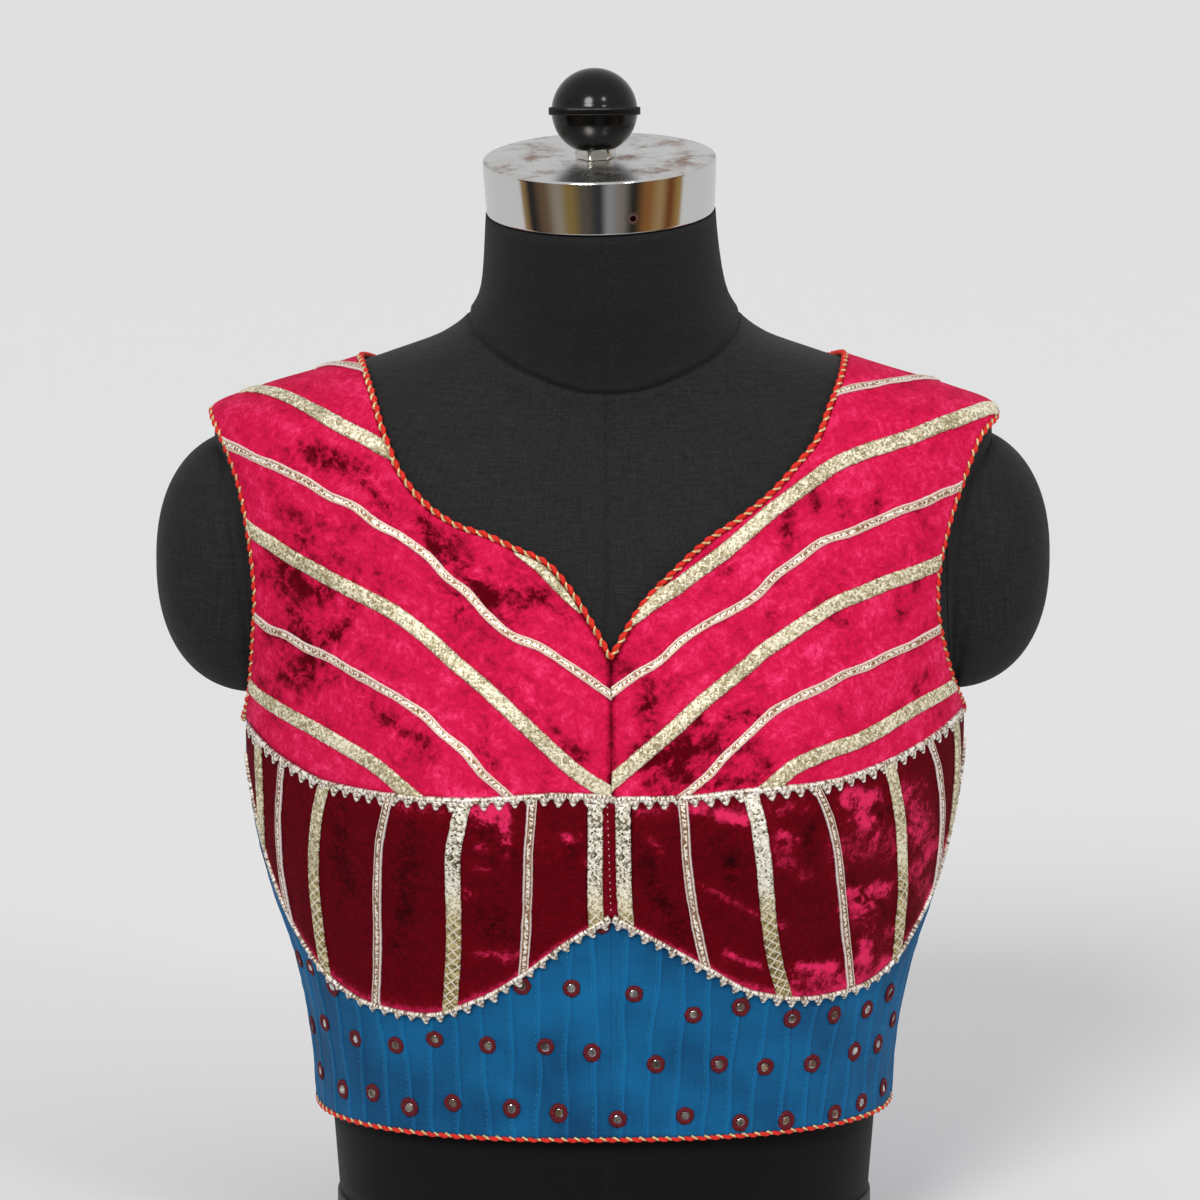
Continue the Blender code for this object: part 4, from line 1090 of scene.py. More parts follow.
def arm_cap(side, rows=110, columns=96):
    """A superellipsoid about the sideways axis. Points that would fall inside
    the torso are settled onto its skin, and a slanting groove marks where the
    round end is sewn to the band."""
    sign = SIDES[side]
    theta = np.linspace(0.001, np.pi - 0.001, rows)[:, None]
    phi = np.linspace(0, 2 * np.pi, columns, endpoint=False)[None, :]
    way = joined(np.cos(theta), np.sin(theta) * np.cos(phi), np.sin(theta) * np.sin(phi))
    size = (np.abs(way) ** ARM_SQUARE).sum(-1, keepdims=True) ** (1 / ARM_SQUARE)
    p = way / size * ARM_RADII + ARM_CENTRE
    off = p[..., 0] - (168 + 0.125 * (p[..., 2] - 275))
    sink = 1.6 * np.exp(-(off / 1.0) ** 2) + 0.6 * smoothstep(0, -5, off)
    out = unit((p - ARM_CENTRE) / ARM_RADII ** 2)
    p = (p - sink[..., None] * out) * (sign, 1, 1)
    buried = FORM.level(p) < 1.002
    p[buried] = FORM.lift(FORM.settle(p[buried]), np.full(buried.sum(), 0.4))
    mesh = tube_mesh("arm_" + side, p, joined(phi * 50 * MM, theta * 50 * MM), sign > 0)
    dress(add("dress_form_arm_" + side, mesh), "jersey_black", "form_arm_" + side)


for side in SIDES:
    arm_cap(side)
print("arm caps drawn")

# %% [markdown]
# ### Base, neck cap, nut and knob
#
# These are turned shapes: a profile of radius and height pairs is carried
# round an axis, then tilted. The cap closes the neck with a polished plate
# that widens a little upward. A hexagonal nut stands on it and holds a ball
# knob, which has a milled band round its middle and was screwed on a little
# askew.


# %% A profile carried round an axis
def turn(p, forward, lean):
    """Turn points by degrees about the x axis, then about the y axis."""
    a, b = np.radians(forward), np.radians(lean)
    x, y, z = p[..., 0], p[..., 1], p[..., 2]
    y, z = y * np.cos(a) - z * np.sin(a), y * np.sin(a) + z * np.cos(a)
    x, z = x * np.cos(b) - z * np.sin(b), x * np.sin(b) + z * np.cos(b)
    return joined(x, y, z)


def turned_piece(name, profile, columns, seat, off=0.0, tilt=CAP_TILT, lean=CAP_LEAN,
                 ripple=None):
    """Point (r, h) of the profile at angle t is (off + r cos t, r sin t, h),
    tilted and moved to its seat; ripple(r, h, t) may add to the radius."""
    r, h = (np.array(profile, float)[:, k][:, None] for k in (0, 1))
    t = np.linspace(0, 2 * np.pi, columns, endpoint=False)[None, :]
    radius = r + (ripple(r, h, t) if ripple else 0.0)
    p = joined(off + radius * np.cos(t), radius * np.sin(t), h)
    mesh = tube_mesh(name, turn(p, tilt, lean) + seat, joined(t * 50 * MM, h * MM))
    mesh.set_sharp_from_angle(angle=np.radians(42))
    return add(name, mesh)


def rounded(points, radius, steps=6):
    """Profile corners replaced by short quadratic curves: the corner pulls a
    point from `radius` before it to `radius` after it."""
    p = np.array(points, float)
    out = [p[:1]]
    t = np.linspace(0, 1, steps)[:, None]
    for before, corner, after in zip(p[:-2], p[1:-1], p[2:]):
        start = corner + unit(before - corner) * radius
        end = corner + unit(after - corner) * radius
        out.append((1 - t) ** 2 * start + 2 * t * (1 - t) * corner + t * t * end)
    return np.concatenate(out + [p[-1:]])


CAP_HEIGHT = 26.2
cap = turned_piece("dress_form_neck_cap", rounded(
    [(50.5, 0.0), (54.2, 0.0), (55.6, CAP_HEIGHT), (1.0, CAP_HEIGHT)], 1.6), 128, CAP_SEAT)
dress(cap, "chrome", "form_neck_cap")
KNOB_OFF, KNOB_RISE, KNOB_RADIUS = -1.8, 22.4, 20.4
NUT_CORNER, NUT_TURN = 9.9, np.radians(11.0)
nut_low, nut_top = CAP_HEIGHT + 0.3, CAP_HEIGHT + 4.9


def hexagon(r, h, t):
    """A circle of radius r cut down to a six-sided bar 19.8 mm across its
    corners, one of which stands 11 degrees behind the left."""
    flat = NUT_CORNER * np.cos(np.pi / 6) / np.cos((t - NUT_TURN) % (np.pi / 3) - np.pi / 6)
    return np.minimum(flat, r) - r


nut = turned_piece("dress_form_nut", [
    (6.0, nut_low), (9.3, nut_low), (9.9, nut_low + 0.6), (9.9, nut_top - 0.6),
    (9.3, nut_top), (1.0, nut_top)], 96, CAP_SEAT, KNOB_OFF, ripple=hexagon)
dress(nut, "chrome", "form_knob_nut")

# %% Ball knob
BAND_HALF, BAND_PROUD, KNOB_TILT = 1.9, 1.2, -6.0
LOW_ROWS = 12               # rings of the ball below its band


def milling(r, h, t):
    """Fine ribs on the band round the ball's middle."""
    return (r > KNOB_RADIUS + 0.6) * 0.16 * np.sin(112 * t)


foot = np.degrees(np.arccos((nut_top + 0.3 - CAP_HEIGHT - KNOB_RISE) / KNOB_RADIUS))
fall = np.concatenate([np.linspace(foot, 96, LOW_ROWS), np.linspace(84, 3, 22)])
ball = KNOB_RADIUS * joined(np.sin(np.radians(fall)), np.cos(np.radians(fall)))
wide = KNOB_RADIUS + BAND_PROUD
band = [(KNOB_RADIUS, -BAND_HALF), (wide - 0.4, -BAND_HALF), (wide, 0.4 - BAND_HALF),
        (wide, BAND_HALF - 0.4), (wide - 0.4, BAND_HALF), (KNOB_RADIUS, BAND_HALF)]
profile = np.concatenate([ball[:LOW_ROWS], band, ball[LOW_ROWS:]])
share = np.pad(smoothstep(96, foot, fall[:LOW_ROWS]), (0, len(profile) - LOW_ROWS))[:, None]
centre = turn(np.array([KNOB_OFF, 0.0, CAP_HEIGHT + KNOB_RISE]), CAP_TILT, CAP_LEAN) + CAP_SEAT
knob = turned_piece("dress_form_knob", profile, 448, centre, ripple=milling,
                    tilt=KNOB_TILT + (CAP_TILT - KNOB_TILT) * share, lean=CAP_LEAN * share)
dress(knob, "plastic_black", "form_knob")

# %% Base
base_ring = FORM.around(np.linspace(0, 360, 120, endpoint=False), 26.5)
base_out = FORM.normal(base_ring) * (1, 1, 0)
profile = rounded([(-6, 0), (1.2, 0), (1.2, 26), (-6, 26)], 1.0)
wall_at = base_ring[None] * (1, 1, 0) + profile[:, 0, None, None] * base_out[None]
wall_at[..., 2] = profile[:, 1, None]
dress(add("dress_form_base", tube_mesh("base", wall_at)), "base_grey", "form_base")
print("form complete")

# %% [markdown]
# ## Cutting lines of the blouse
#
# A choli is cut from flat panels, and every panel ends on a seam, the
# neckline or an armhole. These few points, in millimetres on the form, fix
# them all. Angles are in degrees round from the centre front.

# %% Seam and edge tables
# angle, height on the wearer's right, height on the wearer's left
YOKE_SEAM = (
    (0, 241, 240), (15, 243, 241.5), (30, 242, 246), (43, 242, 247),
    (57, 243, 252), (67, 249, 258), (76, 257, 264), (84, 263, 267),
)
# angle, height of the cup's lower edge
CUP_EDGE = {
    "right": (
        (0, 183), (11, 171), (21, 156), (32, 142), (45, 132.5), (56, 135),
        (65, 144), (71, 158), (75, 176), (78, 205), (81, 240), (83, 256),
    ),
    "left": (
        (0, 183), (11, 172), (23, 158), (35, 144), (48, 139), (58, 141),
        (67, 150), (72, 165), (76, 185), (78.5, 215), (81, 245), (83, 261),
    ),
}
BACK_SEAM = ((96, 264), (110, 259), (135, 252), (160, 249), (180, 248))
# x, y, z along the neckline from the V to the centre back, x without sign
BACK_NECK = ((113, 30, 427), (104, 50, 415), (86, 70, 398), (60, 86, 384),
             (30, 96, 377), (0, 100, 375))
NECKLINE = {
    "right": (
        (0, -100, 305), (12, -95, 326), (22, -90, 340), (31, -88, 349),
        (45, -85, 355), (57, -81, 360), (72, -78, 365), (86, -72, 374),
        (98, -65, 388), (105, -56, 404), (111, -36, 422), (115, -8, 431),
        (116, 12, 431), *BACK_NECK,
    ),
    "left": (
        (0, -100, 305), (15, -94, 329), (30, -89, 344), (45, -84, 357),
        (61, -78, 367), (76, -72, 378), (89, -65, 391), (98, -59, 401),
        (105, -48, 415), (110, -34, 424), (114, -9, 431), (115, 12, 431),
        *BACK_NECK,
    ),
}
NECK_SEAM_ROW = {"right": 12, "left": 11}
# x, y, z round the armhole: front edge down, underarm, back edge up
ARMHOLE = {
    "right": (
        (188, 14, 407), (187, -2, 407), (179, -24, 393), (171, -34, 364),
        (167, -38, 340), (166, -38, 321), (168, -30, 290), (171, -18, 268),
        (173, 4, 258), (172, 24, 265), (168, 40, 288), (165, 48, 318),
        (166, 48, 342), (170, 44, 366), (178, 32, 392),
    ),
    "left": (
        (188, 14, 406), (188, -2, 405), (177, -25, 397), (168, -37, 376),
        (160, -46, 355), (156, -52, 334), (157, -51, 310), (163, -38, 283),
        (171, -18, 267), (173, 4, 260), (171, 26, 267), (166, 42, 288),
        (163, 50, 318), (164, 50, 342), (169, 44, 366), (178, 32, 392),
    ),
}
ARM_SIDE_ROW = {"right": 7, "left": 8}
PLACKET_ANGLES, PLACKET_TOP = (-5.4, 4.6), 240.5
HEM_Z = 72.6                # centre line of the hem piping


# %% Lines on the cloth
def seam_height(side, angle):
    """Height of the seam between a front yoke and the cup under it."""
    return through(YOKE_SEAM, angle, 1 if side == "right" else 2)


def cup_edge(side, angle):
    """Height of the cup's lower edge."""
    return through(CUP_EDGE[side], angle)


def half_neckline(side):
    """The neckline's points settled on the cloth, with a smooth path."""
    return curve_through(CLOTH.settle(np.array(NECKLINE[side], float) * (SIDES[side], 1, 1)))


def armhole(side):
    """The closed path of an armhole on the cloth."""
    loop = CLOTH.settle(np.array(ARMHOLE[side], float) * (SIDES[side], 1, 1))
    return curve_through(loop, closed=True)


def inset(edge, other, distance):
    """Move an edge along the cloth, squarely to itself, toward a point: the
    direction is normal x tangent."""
    square = np.cross(CLOTH.normal(edge), unit(np.gradient(edge, axis=0)))
    toward = np.sign(((other - edge) * square).sum())
    return CLOTH.settle(edge + toward * distance * square)


def angle_of(p):
    """Degrees round from the centre front, without sign."""
    return np.degrees(np.arctan2(np.abs(p[..., 0]), -p[..., 1]))


def sampled(path, at):
    """The path read at fractions of its length."""
    walk = walked(path)
    return read_at(path, walk, at * walk[-1])


for side in SIDES:
    print(side, "armhole", walked(armhole(side))[-1].round(), "mm round")

# %% [markdown]
# ## Velvet panels
#
# Four yokes, two cups and the narrow front placket are velvet. Each is a
# grid between its seams. Its outer face stands 0.9 mm off the cloth surface,
# dips into the seams, and carries listed creases: each is a line from one
# point to another with a width and a depth. The same function lifts the
# ribbons, so they lie in the creases too.

# %% Creases
VELVET_LIFT, VELVET_WALL = 0.9, 1.2
# x, z of one end, x, z of the other, half width, depth, all in mm
FRONT_CREASES = np.array([
    (-142, 400, -112, 383, 5, 0.9), (-116, 393, -99, 364, 5, 1.0),
    (-89, 369, -78, 347, 4, 0.8), (-72, 353, -44, 321, 6, 1.3),
    (-45, 344, -25, 327, 5, 1.0), (-145, 330, -118, 326, 5, 1.0),
    (-45, 295, -13, 259, 4, 0.8), (-145, 300, -126, 319, 5, 1.0),
    (-160, 392, -130, 388, 5, 0.7), (-157, 344, -131, 335, 5, 0.9),
    (-135, 346, -117, 306, 4, 0.6), (-79, 335, -61, 313, 4, 0.8),
    (-120, 290, -84, 262, 6, 0.5), (-60, 275, -52, 250, 5, 0.4),
    (16, 296, 17, 246, 3.5, 0.5), (27, 263, 61, 278, 5, 0.8),
    (18, 263, 47, 252, 5, 0.7), (82, 370, 84, 348, 3, 0.6),
    (97, 379, 98, 370, 3, 0.5), (109, 376, 111, 365, 3, 0.5),
    (125, 378, 126, 366, 3, 0.4), (75, 330, 77, 312, 3, 0.5),
    (137, 331, 139, 316, 3, 0.5), (51, 342, 58, 349, 4, 0.5),
    (98, 329, 122, 309, 5, 0.5), (137, 279, 155, 290, 4, 0.6),
    (8, 318, 30, 300, 4, 0.5), (140, 352, 146, 330, 3, 0.5),
    # the cups
    (-66, 237, -47, 213, 6, 0.6), (-24, 226, -12, 211, 4, 0.5),
    (-127, 236, -125, 186, 5, 0.5), (-94, 231, -99, 159, 5, 0.4),
    (-66, 192, -42, 167, 6, 0.6), (13, 216, 37, 161, 5, 0.5),
    (50, 227, 62, 192, 5, 0.6), (88, 240, 95, 210, 4, 0.5),
    (117, 232, 135, 226, 4, 0.5), (113, 197, 134, 166, 5, 0.6),
])
BACK_CREASES = np.array([
    (-150, 390, -110, 372, 5, 0.8), (-120, 350, -96, 318, 5, 0.9),
    (-60, 366, -34, 330, 5, 0.8), (-135, 310, -100, 296, 5, 0.8),
    (-40, 300, -8, 272, 4, 0.7), (20, 352, 40, 318, 4, 0.8),
    (70, 372, 96, 340, 5, 0.9), (112, 330, 146, 318, 5, 0.8),
    (60, 300, 88, 276, 5, 0.7), (120, 284, 150, 296, 4, 0.6),
    (120, 396, 146, 380, 4, 0.6), (-84, 285, -70, 262, 4, 0.6),
])


def crease_share(p):
    """For each crease: exp(-(distance / width)^2), where the distance is to
    the line from end to end, seen from the front or the back, times 0.25 +
    3t(1 - t) along its length. Summed times depth, and plain."""
    depth, mark = 0.0, 0.0
    flat = p[..., None, ::2]        # x and z
    for rows, there in ((FRONT_CREASES, p[..., 1] < 8), (BACK_CREASES, p[..., 1] >= 8)):
        start, end = rows[:, 0:2], rows[:, 2:4]
        run = end - start
        t = np.clip(((flat - start) * run).sum(-1) / (run ** 2).sum(-1), 0, 1)
        off = np.linalg.norm(flat - start - t[..., None] * run, axis=-1)
        share = np.exp(-(off / rows[:, 4]) ** 2) * (0.25 + 3 * t * (1 - t))
        share = share * there[..., None]
        depth = depth + (share * rows[:, 5]).sum(-1)
        mark = mark + share.sum(-1)
    return depth, mark


def velvet_height(p):
    """Lift of the velvet's face: 0.9 mm, plus slow waves of 0.35 mm, less
    0.8 of the creases' depth."""
    depth, _ = crease_share(p)
    return VELVET_LIFT + 0.35 * noise(p, 26.0, 3) - 0.8 * depth


print(len(FRONT_CREASES) + len(BACK_CREASES), "creases")


# %% Painted highlights and shade on the pile
# painted highlights and shade as strokes: x, z, x, z, reach, and how far the pile leans to the light
PILE_LIGHT_STROKES = np.array([
    # right yoke
    (-150, 345, -140, 290, 16, -0.14), (-100, 355, -55, 300, 11, -0.1),
    (-141, 398, -129, 392, 5, -0.4), (-129, 392, -105, 375, 3, -0.3),
    (-89, 366, -77, 350, 4.5, -0.45), (-74, 353, -59, 336, 6.5, -0.45),
    (-59, 336, -43, 327, 6, -0.45), (-48, 345, -31, 332, 3, -0.35),
    (-79, 341, -69, 326, 3, -0.3),
    (-31, 331, -17, 321, 3, -0.2), (-136, 361, -119, 343, 6.5, -0.25),
    (-158, 377, -145, 360, 4.5, -0.25), (-160, 351, -150, 341, 4.5, -0.3),
    (-162, 336, -134, 332, 6, -0.3), (-155, 326, -143, 314, 5, -0.3),
    (-118, 330, -128, 312, 3, -0.35), (-128, 312, -140, 304, 2.5, -0.3),
    (-159, 306, -155, 293, 6.5, -0.3), (-163, 284, -134, 300, 3, -0.45),
    (-146, 285, -124, 292, 4.5, -0.25), (-31, 280, -15, 261, 2.5, -0.25),
    (-89, 271, -85, 271, 3, -0.25), (-110, 348, -103, 312, 2.5, -0.15),
    (-136, 321, -129, 316, 6, 0.15), (-112, 330, -98, 326, 6, 0.12),
    # left yoke
    (18, 262, 45, 268, 15, -0.14), (60, 300, 100, 330, 12, -0.03), (1, 304, 11, 299, 4.5, -0.35),
    (17, 295, 19, 290, 2.5, -0.3), (29, 296, 32, 287, 3, -0.15), (37, 276, 70, 279, 3, -0.4),
    (16, 287, 23, 271, 5, -0.4), (16, 257, 26, 248, 8, -0.5), (41, 248, 74, 254, 5, -0.4),
    (37, 269, 65, 264, 6, -0.3), (96, 380, 98, 370, 2.5, -0.3), (85, 373, 85, 355, 2.5, -0.3),
    (127, 383, 127, 368, 2, -0.25), (52, 349, 56, 343, 3, -0.2), (79, 349, 79, 331, 2, -0.25),
    (148, 365, 151, 348, 2.5, -0.25), (44, 336, 61, 336, 6, -0.12), (89, 305, 103, 298, 8.5, 0.15),
    # right cup
    (-66, 240, -52, 239, 5, 0.71), (-62, 233, -50, 232, 4.5, 0.46), (-52, 227, -48, 222, 3, 0.66),
    (-62, 221, -50, 216, 2.5, 0.61), (-64, 210, -59, 209, 3, 0.32), (-70, 199, -65, 194, 2, 0.47),
    (-21, 224, -19, 221, 2.5, 0.61), (-17, 216, -12, 210, 2.5, 0.42),
    (-66, 166, -43, 165, 2.5, 0.42), (-99, 238, -77, 239, 5, 0.29), (-36, 225, -24, 219, 6, 0.27),
    # left cup
    (51, 234, 61, 232, 2.5, 0.76), (18, 222, 23, 216, 2.5, 0.51), (13, 235, 41, 238, 4.5, 0.37),
    (41, 237, 88, 238, 4.5, 0.32), (41, 201, 80, 178, 2, 0.37), (54, 165, 71, 157, 2, 0.56),
    (71, 220, 88, 206, 5.5, 0.32), (78, 226, 86, 222, 2.5, 0.47), (90, 156, 105, 154, 3, 0.86),
    (85, 150, 110, 147, 4.5, 0.37), (111, 191, 129, 189, 4.5, 0.66),
    (111, 185, 126, 181, 2.5, 0.42), (120, 163, 122, 155, 3, 0.71), (116, 178, 132, 165, 6, 0.37),
    (114, 152, 130, 152, 5.5, 0.37), (112, 240, 121, 236, 5.5, 0.66),
    (116, 229, 123, 225, 4.5, 0.56), (105, 217, 132, 209, 8.5, 0.32),
    (140, 234, 154, 203, 8.5, 0.47), (141, 196, 152, 182, 6.5, 0.32),
])


def tone(p):
    """Painted highlights and shade of the pile, as a sum of strokes: amount
    exp(-(distance / reach)^2), where the distance is to the line between the
    stroke's ends. They are on the front only, and noise breaks up their
    edges."""
    flat = p[..., None, ::2]        # x and z
    start, run = PILE_LIGHT_STROKES[:, :2], PILE_LIGHT_STROKES[:, 2:4] - PILE_LIGHT_STROKES[:, :2]
    share = np.clip(((flat - start) * run).sum(-1) / ((run ** 2).sum(-1) + 0.1), 0, 1)
    away = np.linalg.norm(flat - start - share[..., None] * run, axis=-1) / PILE_LIGHT_STROKES[:, 4]
    away = away * (1 + 0.4 * noise(p, 7.0, 31) + 0.3 * noise(p, 3.0, 32))[..., None]
    return (np.exp(-away ** 2) * PILE_LIGHT_STROKES[:, 5]).sum(-1) * (p[..., 1] < 0)


# %% A velvet panel from a grid
SHEETS = {}


def stretch(grid):
    """Mean width and length of a grid measured along its lines, its area as
    the sum of its triangles, and UVs in metres from those lengths."""
    across = np.linalg.norm(np.diff(grid, axis=1), axis=2)
    up = np.linalg.norm(np.diff(grid, axis=0), axis=2)
    u = np.pad(np.cumsum(across, 1), ((0, 0), (1, 0)))
    v = np.pad(np.cumsum(up, 0), ((1, 0), (0, 0)))
    a, b = grid[1:, 1:] - grid[:-1, :-1], grid[1:, :-1] - grid[:-1, 1:]
    area = np.linalg.norm(np.cross(a, b), axis=-1).sum() / 2 * MM * MM
    return u[:, -1].max() * MM, v[-1].max() * MM, area, joined(u, v) * MM


def velvet_panel(name, node_name, grid, slot, shade, crush, dips, rim=0.0):
    """Lift the grid to the velvet's face, rolled down by 0.8 mm within 2 mm
    of the edges named in dips, and give it its wall. The pile is the more
    ruffled the more a stroke or crease disturbs it. The stored shade paints
    light and shade on the pile: painted highlights and shade from the
    strokes, painted shade in the creases and, on panels without a rim, along
    the rolled edges, and on the cups a redder painted highlight by the rim
    where the panel turns under at its low edge."""
    width, long, area, uv = stretch(grid)
    rows, columns = grid.shape[:2]
    r, c = np.meshgrid(np.arange(rows), np.arange(columns), indexing="ij")
    step_up, step_across = long / MM / rows, width / MM / columns
    near = {"low": r * step_up, "high": (rows - 1 - r) * step_up,
            "inner": c * step_across, "outer": (columns - 1 - c) * step_across}
    roll = sum(np.exp(-(near[edge] / 1.3) ** 2) for edge in dips)
    face = CLOTH.lift(grid, velvet_height(grid) - 0.8 * np.clip(roll, 0, 1))
    obj = sheet_of(name, face, uv, VELVET_WALL, CLOTH.normal)
    _, mark = crease_share(grid)
    mark = np.clip(mark, 0, 1.5) * (0.75 + 0.6 * noise(grid, 6.0, 41))
    # painted light: strokes, a painted highlight by the low rim, painted shade in creases and along rolled edges
    lit = tone(grid)
    red = rim * np.exp(-(near["low"] / 5.5) ** 2)
    shaded(obj, shade + lit + red - 0.3 * mark - 0.4 * np.clip(roll, 0, 1) * (rim == 0))
    shaded(obj, crush + 0.8 * np.abs(lit) + 0.5 * mark, "crush")
    SHEETS[name] = (dress(obj, slot, node_name), width, long, area)


# %% Yokes
EDGE_INSET = 1.1            # the velvet runs on under the piping
SEAM_GAP = 0.3


def yoke_grid(side, centre, neck, arm, seam_at, step=2.2, columns=74):
    """Inner edge: up the centre seam, then along the neckline. Outer edge:
    the armhole. The seam is the bottom, the shoulder the top, and a Coons
    patch settled on the cloth fills them."""
    neck = inset(neck, arm[len(arm) // 2], EDGE_INSET)
    corner = neck[0] * (0, 1, 1) - (0, 0, 0.3 * EDGE_INSET)
    low = np.linspace(centre, corner, round(np.linalg.norm(corner - centre) / step) + 1)
    low[:, 0] = SIDES[side] * SEAM_GAP / 4
    neck[0] = low[-1]
    inner = np.concatenate([low, spaced(neck, round(walked(neck)[-1] / step) + 1)[1:]])
    share = walked(inner) / walked(inner)[-1]
    fine = inset(spaced(arm, 801), neck[len(neck) // 2], EDGE_INSET)
    outer = read_at(fine, np.linspace(0, 1, len(fine)), share)
    angles = np.linspace(angle_of(inner[0]), angle_of(outer[0]), 300)
    bottom = spaced(CLOTH.around(angles * SIDES[side], seam_at(angles)), columns)
    outer[0], inner[0] = bottom[-1], bottom[0]
    top = np.linspace(inner[-1], outer[-1], columns)
    return CLOTH.settle(patch(bottom, top, inner, outer))


for side in SIDES:
    last = len(NECKLINE[side]) - 1
    seam_row, arm_row = NECK_SEAM_ROW[side], ARM_SIDE_ROW[side]
    neckline, hole = half_neckline(side), armhole(side)
    front = yoke_grid(
        side, CLOTH.front(0.0, seam_height(side, 0.0)), neckline[:SPANS * seam_row + 1],
        hole[:SPANS * arm_row + 1][::-1], lambda angle: seam_height(side, angle))
    velvet_panel("velvet_yoke_front_" + side, "yoke_front_" + side, front,
                 "velvet_magenta", shade=0.06, crush=0.42, dips=("inner", "high"))
    back = yoke_grid(
        side, CLOTH.around(180.0, through(BACK_SEAM, 180.0)),
        neckline[SPANS * seam_row:SPANS * last + 1][::-1],
        hole[SPANS * (arm_row + 2):], lambda angle: through(BACK_SEAM, angle), 3.2, 52)
    velvet_panel("velvet_yoke_back_" + side, "yoke_back_" + side, back,
                 "velvet_magenta", shade=0.03, crush=0.45, dips=("inner", "high"))
print("yokes:", *SHEETS)


# %% Cups and placket
def cup_grid(side, ribs=104, rows=64):
    """Ribs fan from the yoke seam to the curved lower edge, which is shared
    out evenly by distance."""
    start = abs(PLACKET_ANGLES[0 if side == "right" else 1]) + 0.2
    angle = np.linspace(start, CUP_EDGE[side][-1][0], 400)
    edge = CLOTH.around(angle * SIDES[side], cup_edge(side, angle))
    walk = walked(edge)
    low = np.interp(np.linspace(0, walk[-1], ribs), walk, angle)
    high = np.linspace(start, 82.0, ribs)
    v = np.linspace(0, 1, rows)[:, None]
    height = (1 - v) * cup_edge(side, low) + v * seam_height(side, high)
    return CLOTH.around(((1 - v) * low + v * high) * SIDES[side], height)


for side in SIDES:
    # painted shade: the cups take the darker velvet and a lower shade, as they face down, plus a painted highlight by
    # their turned-under rim
    velvet_panel("velvet_cup_" + side, "cup_" + side, cup_grid(side), "velvet_maroon",
                 shade=-0.21, crush=0.12, dips=("low", "high"), rim=0.65)
placket_angles = np.linspace(*PLACKET_ANGLES, 15)
low = np.where(placket_angles < 0, *(cup_edge(side, np.abs(placket_angles)) for side in SIDES))
v = np.linspace(0, 1, 40)[:, None]
band = CLOTH.around(placket_angles, (1 - v) * low + v * PLACKET_TOP)
velvet_panel("velvet_placket", "front_placket", band, "velvet_maroon",
             shade=0.02, crush=0.05, dips=("inner", "outer"))
print("velvet sheets:", len(SHEETS))

# %% [markdown]
# ## Pintucked cotton
#
# The midriff and the back are one width of teal cotton sewn into pintucks: a
# narrow fold is pressed to one side and held by a line of running stitch, and
# the next one follows 13 mm on. A tuck shows as a thin ridge with a flat lap
# beside it. Hand sewing makes the folds waver, and the stitches pull small
# puckers across them.

# %% How a tuck stands
COTTON_LIFT, COTTON_WALL = -1.25, 1.0
TUCK_PITCH = 13.0
TOP_UNDERLAP = 7.0          # cotton that runs on under the velvet's edge


def fold_line(number, z):
    """How far a fold wanders from its place at a height: a lean that changes
    from fold to fold, and two slow waves."""
    lean = 0.03 * np.sin(1.7 * number) + 0.022
    wave = 0.7 * np.sin(z / 13.0 + 2.1 * number) + 0.4 * np.sin(z / 5.7 + 1.3 * number)
    return lean * (z - 120) + wave


def tuck(u, z):
    """u is the distance along the hem, and t the distance from the nearest
    fold. Returns the height over the cloth and the shade at each point: a
    ridge at the fold, exp(-(t/0.8)^2) before it and exp(-(t/0.35)^2) after
    it, a lap 2.5 mm wide before it, a dimple under the stitches at t = -1.9,
    and puckers across it every 3.4 mm. The shade is painted light: a painted
    highlight on the ridge and the lap, and painted shade at the fold's foot
    and in the dimple."""
    number = np.floor(u / TUCK_PITCH)
    for _ in range(2):
        t = u - (number + 0.5) * TUCK_PITCH - fold_line(number, z)
        number = number + np.round(t / TUCK_PITCH)
    t = u - (number + 0.5) * TUCK_PITCH - fold_line(number, z)
    lap = smoothstep(-2.9, -2.1, t) * (t < 0)
    ridge = np.where(t < 0, np.exp(-(t / 0.8) ** 2), np.exp(-(t / 0.35) ** 2))
    dimple = np.exp(-((t + 1.9) / 0.5) ** 2)
    pucker = 0.10 * np.sin(2 * np.pi * z / 3.4 + 2 * number) * np.exp(-((t + 1.9) / 2.6) ** 2)
    height = 0.28 * lap + 0.5 * ridge - 0.16 * dimple + pucker
    # painted highlight on the ridge and the lap, painted shade at the fold's foot
    shade = 0.2 * ridge + 0.1 * lap - 0.07 * np.exp(-((t - 0.8) / 0.8) ** 2)
    return height, shade - 0.1 * dimple


def cotton_height(grid, u, z):
    """Tucks, with soft draped waves of 0.4 mm."""
    height, shade = tuck(u, z)
    return height + 0.4 * noise(grid, 30.0, 11), shade


# %% Cotton panels
def underarm(side):
    """Angle and height of the cotton's edge under the arm."""
    loop = armhole(side)
    low = loop[loop[:, 2] < 300]
    low = low[np.argsort(angle_of(low))]
    return angle_of(low), low[:, 2] - EDGE_INSET


def front_top(side, angle):
    """The cup's edge plus the underlap, but no higher than the armhole."""
    edge = cup_edge(side, angle) + TOP_UNDERLAP
    limit = np.interp(angle, *underarm(side))
    return np.where(angle > 75, np.minimum(edge + 4.0, limit), edge)


def back_top(side, angle):
    """The back seam plus the underlap, but no higher than the armhole."""
    edge = through(BACK_SEAM, angle) + TOP_UNDERLAP
    return np.minimum(edge, np.interp(angle, *underarm(side), right=999.0))


def hem_walk():
    """Angles from 0 to 180 degrees and the distance along the hem to each."""
    angle = np.linspace(0, 180, 1441)
    return angle, walked(CLOTH.around(angle, 90.0))


HEM_ANGLE, HEM_WALK = hem_walk()
SIDE_SEAM = 90.0


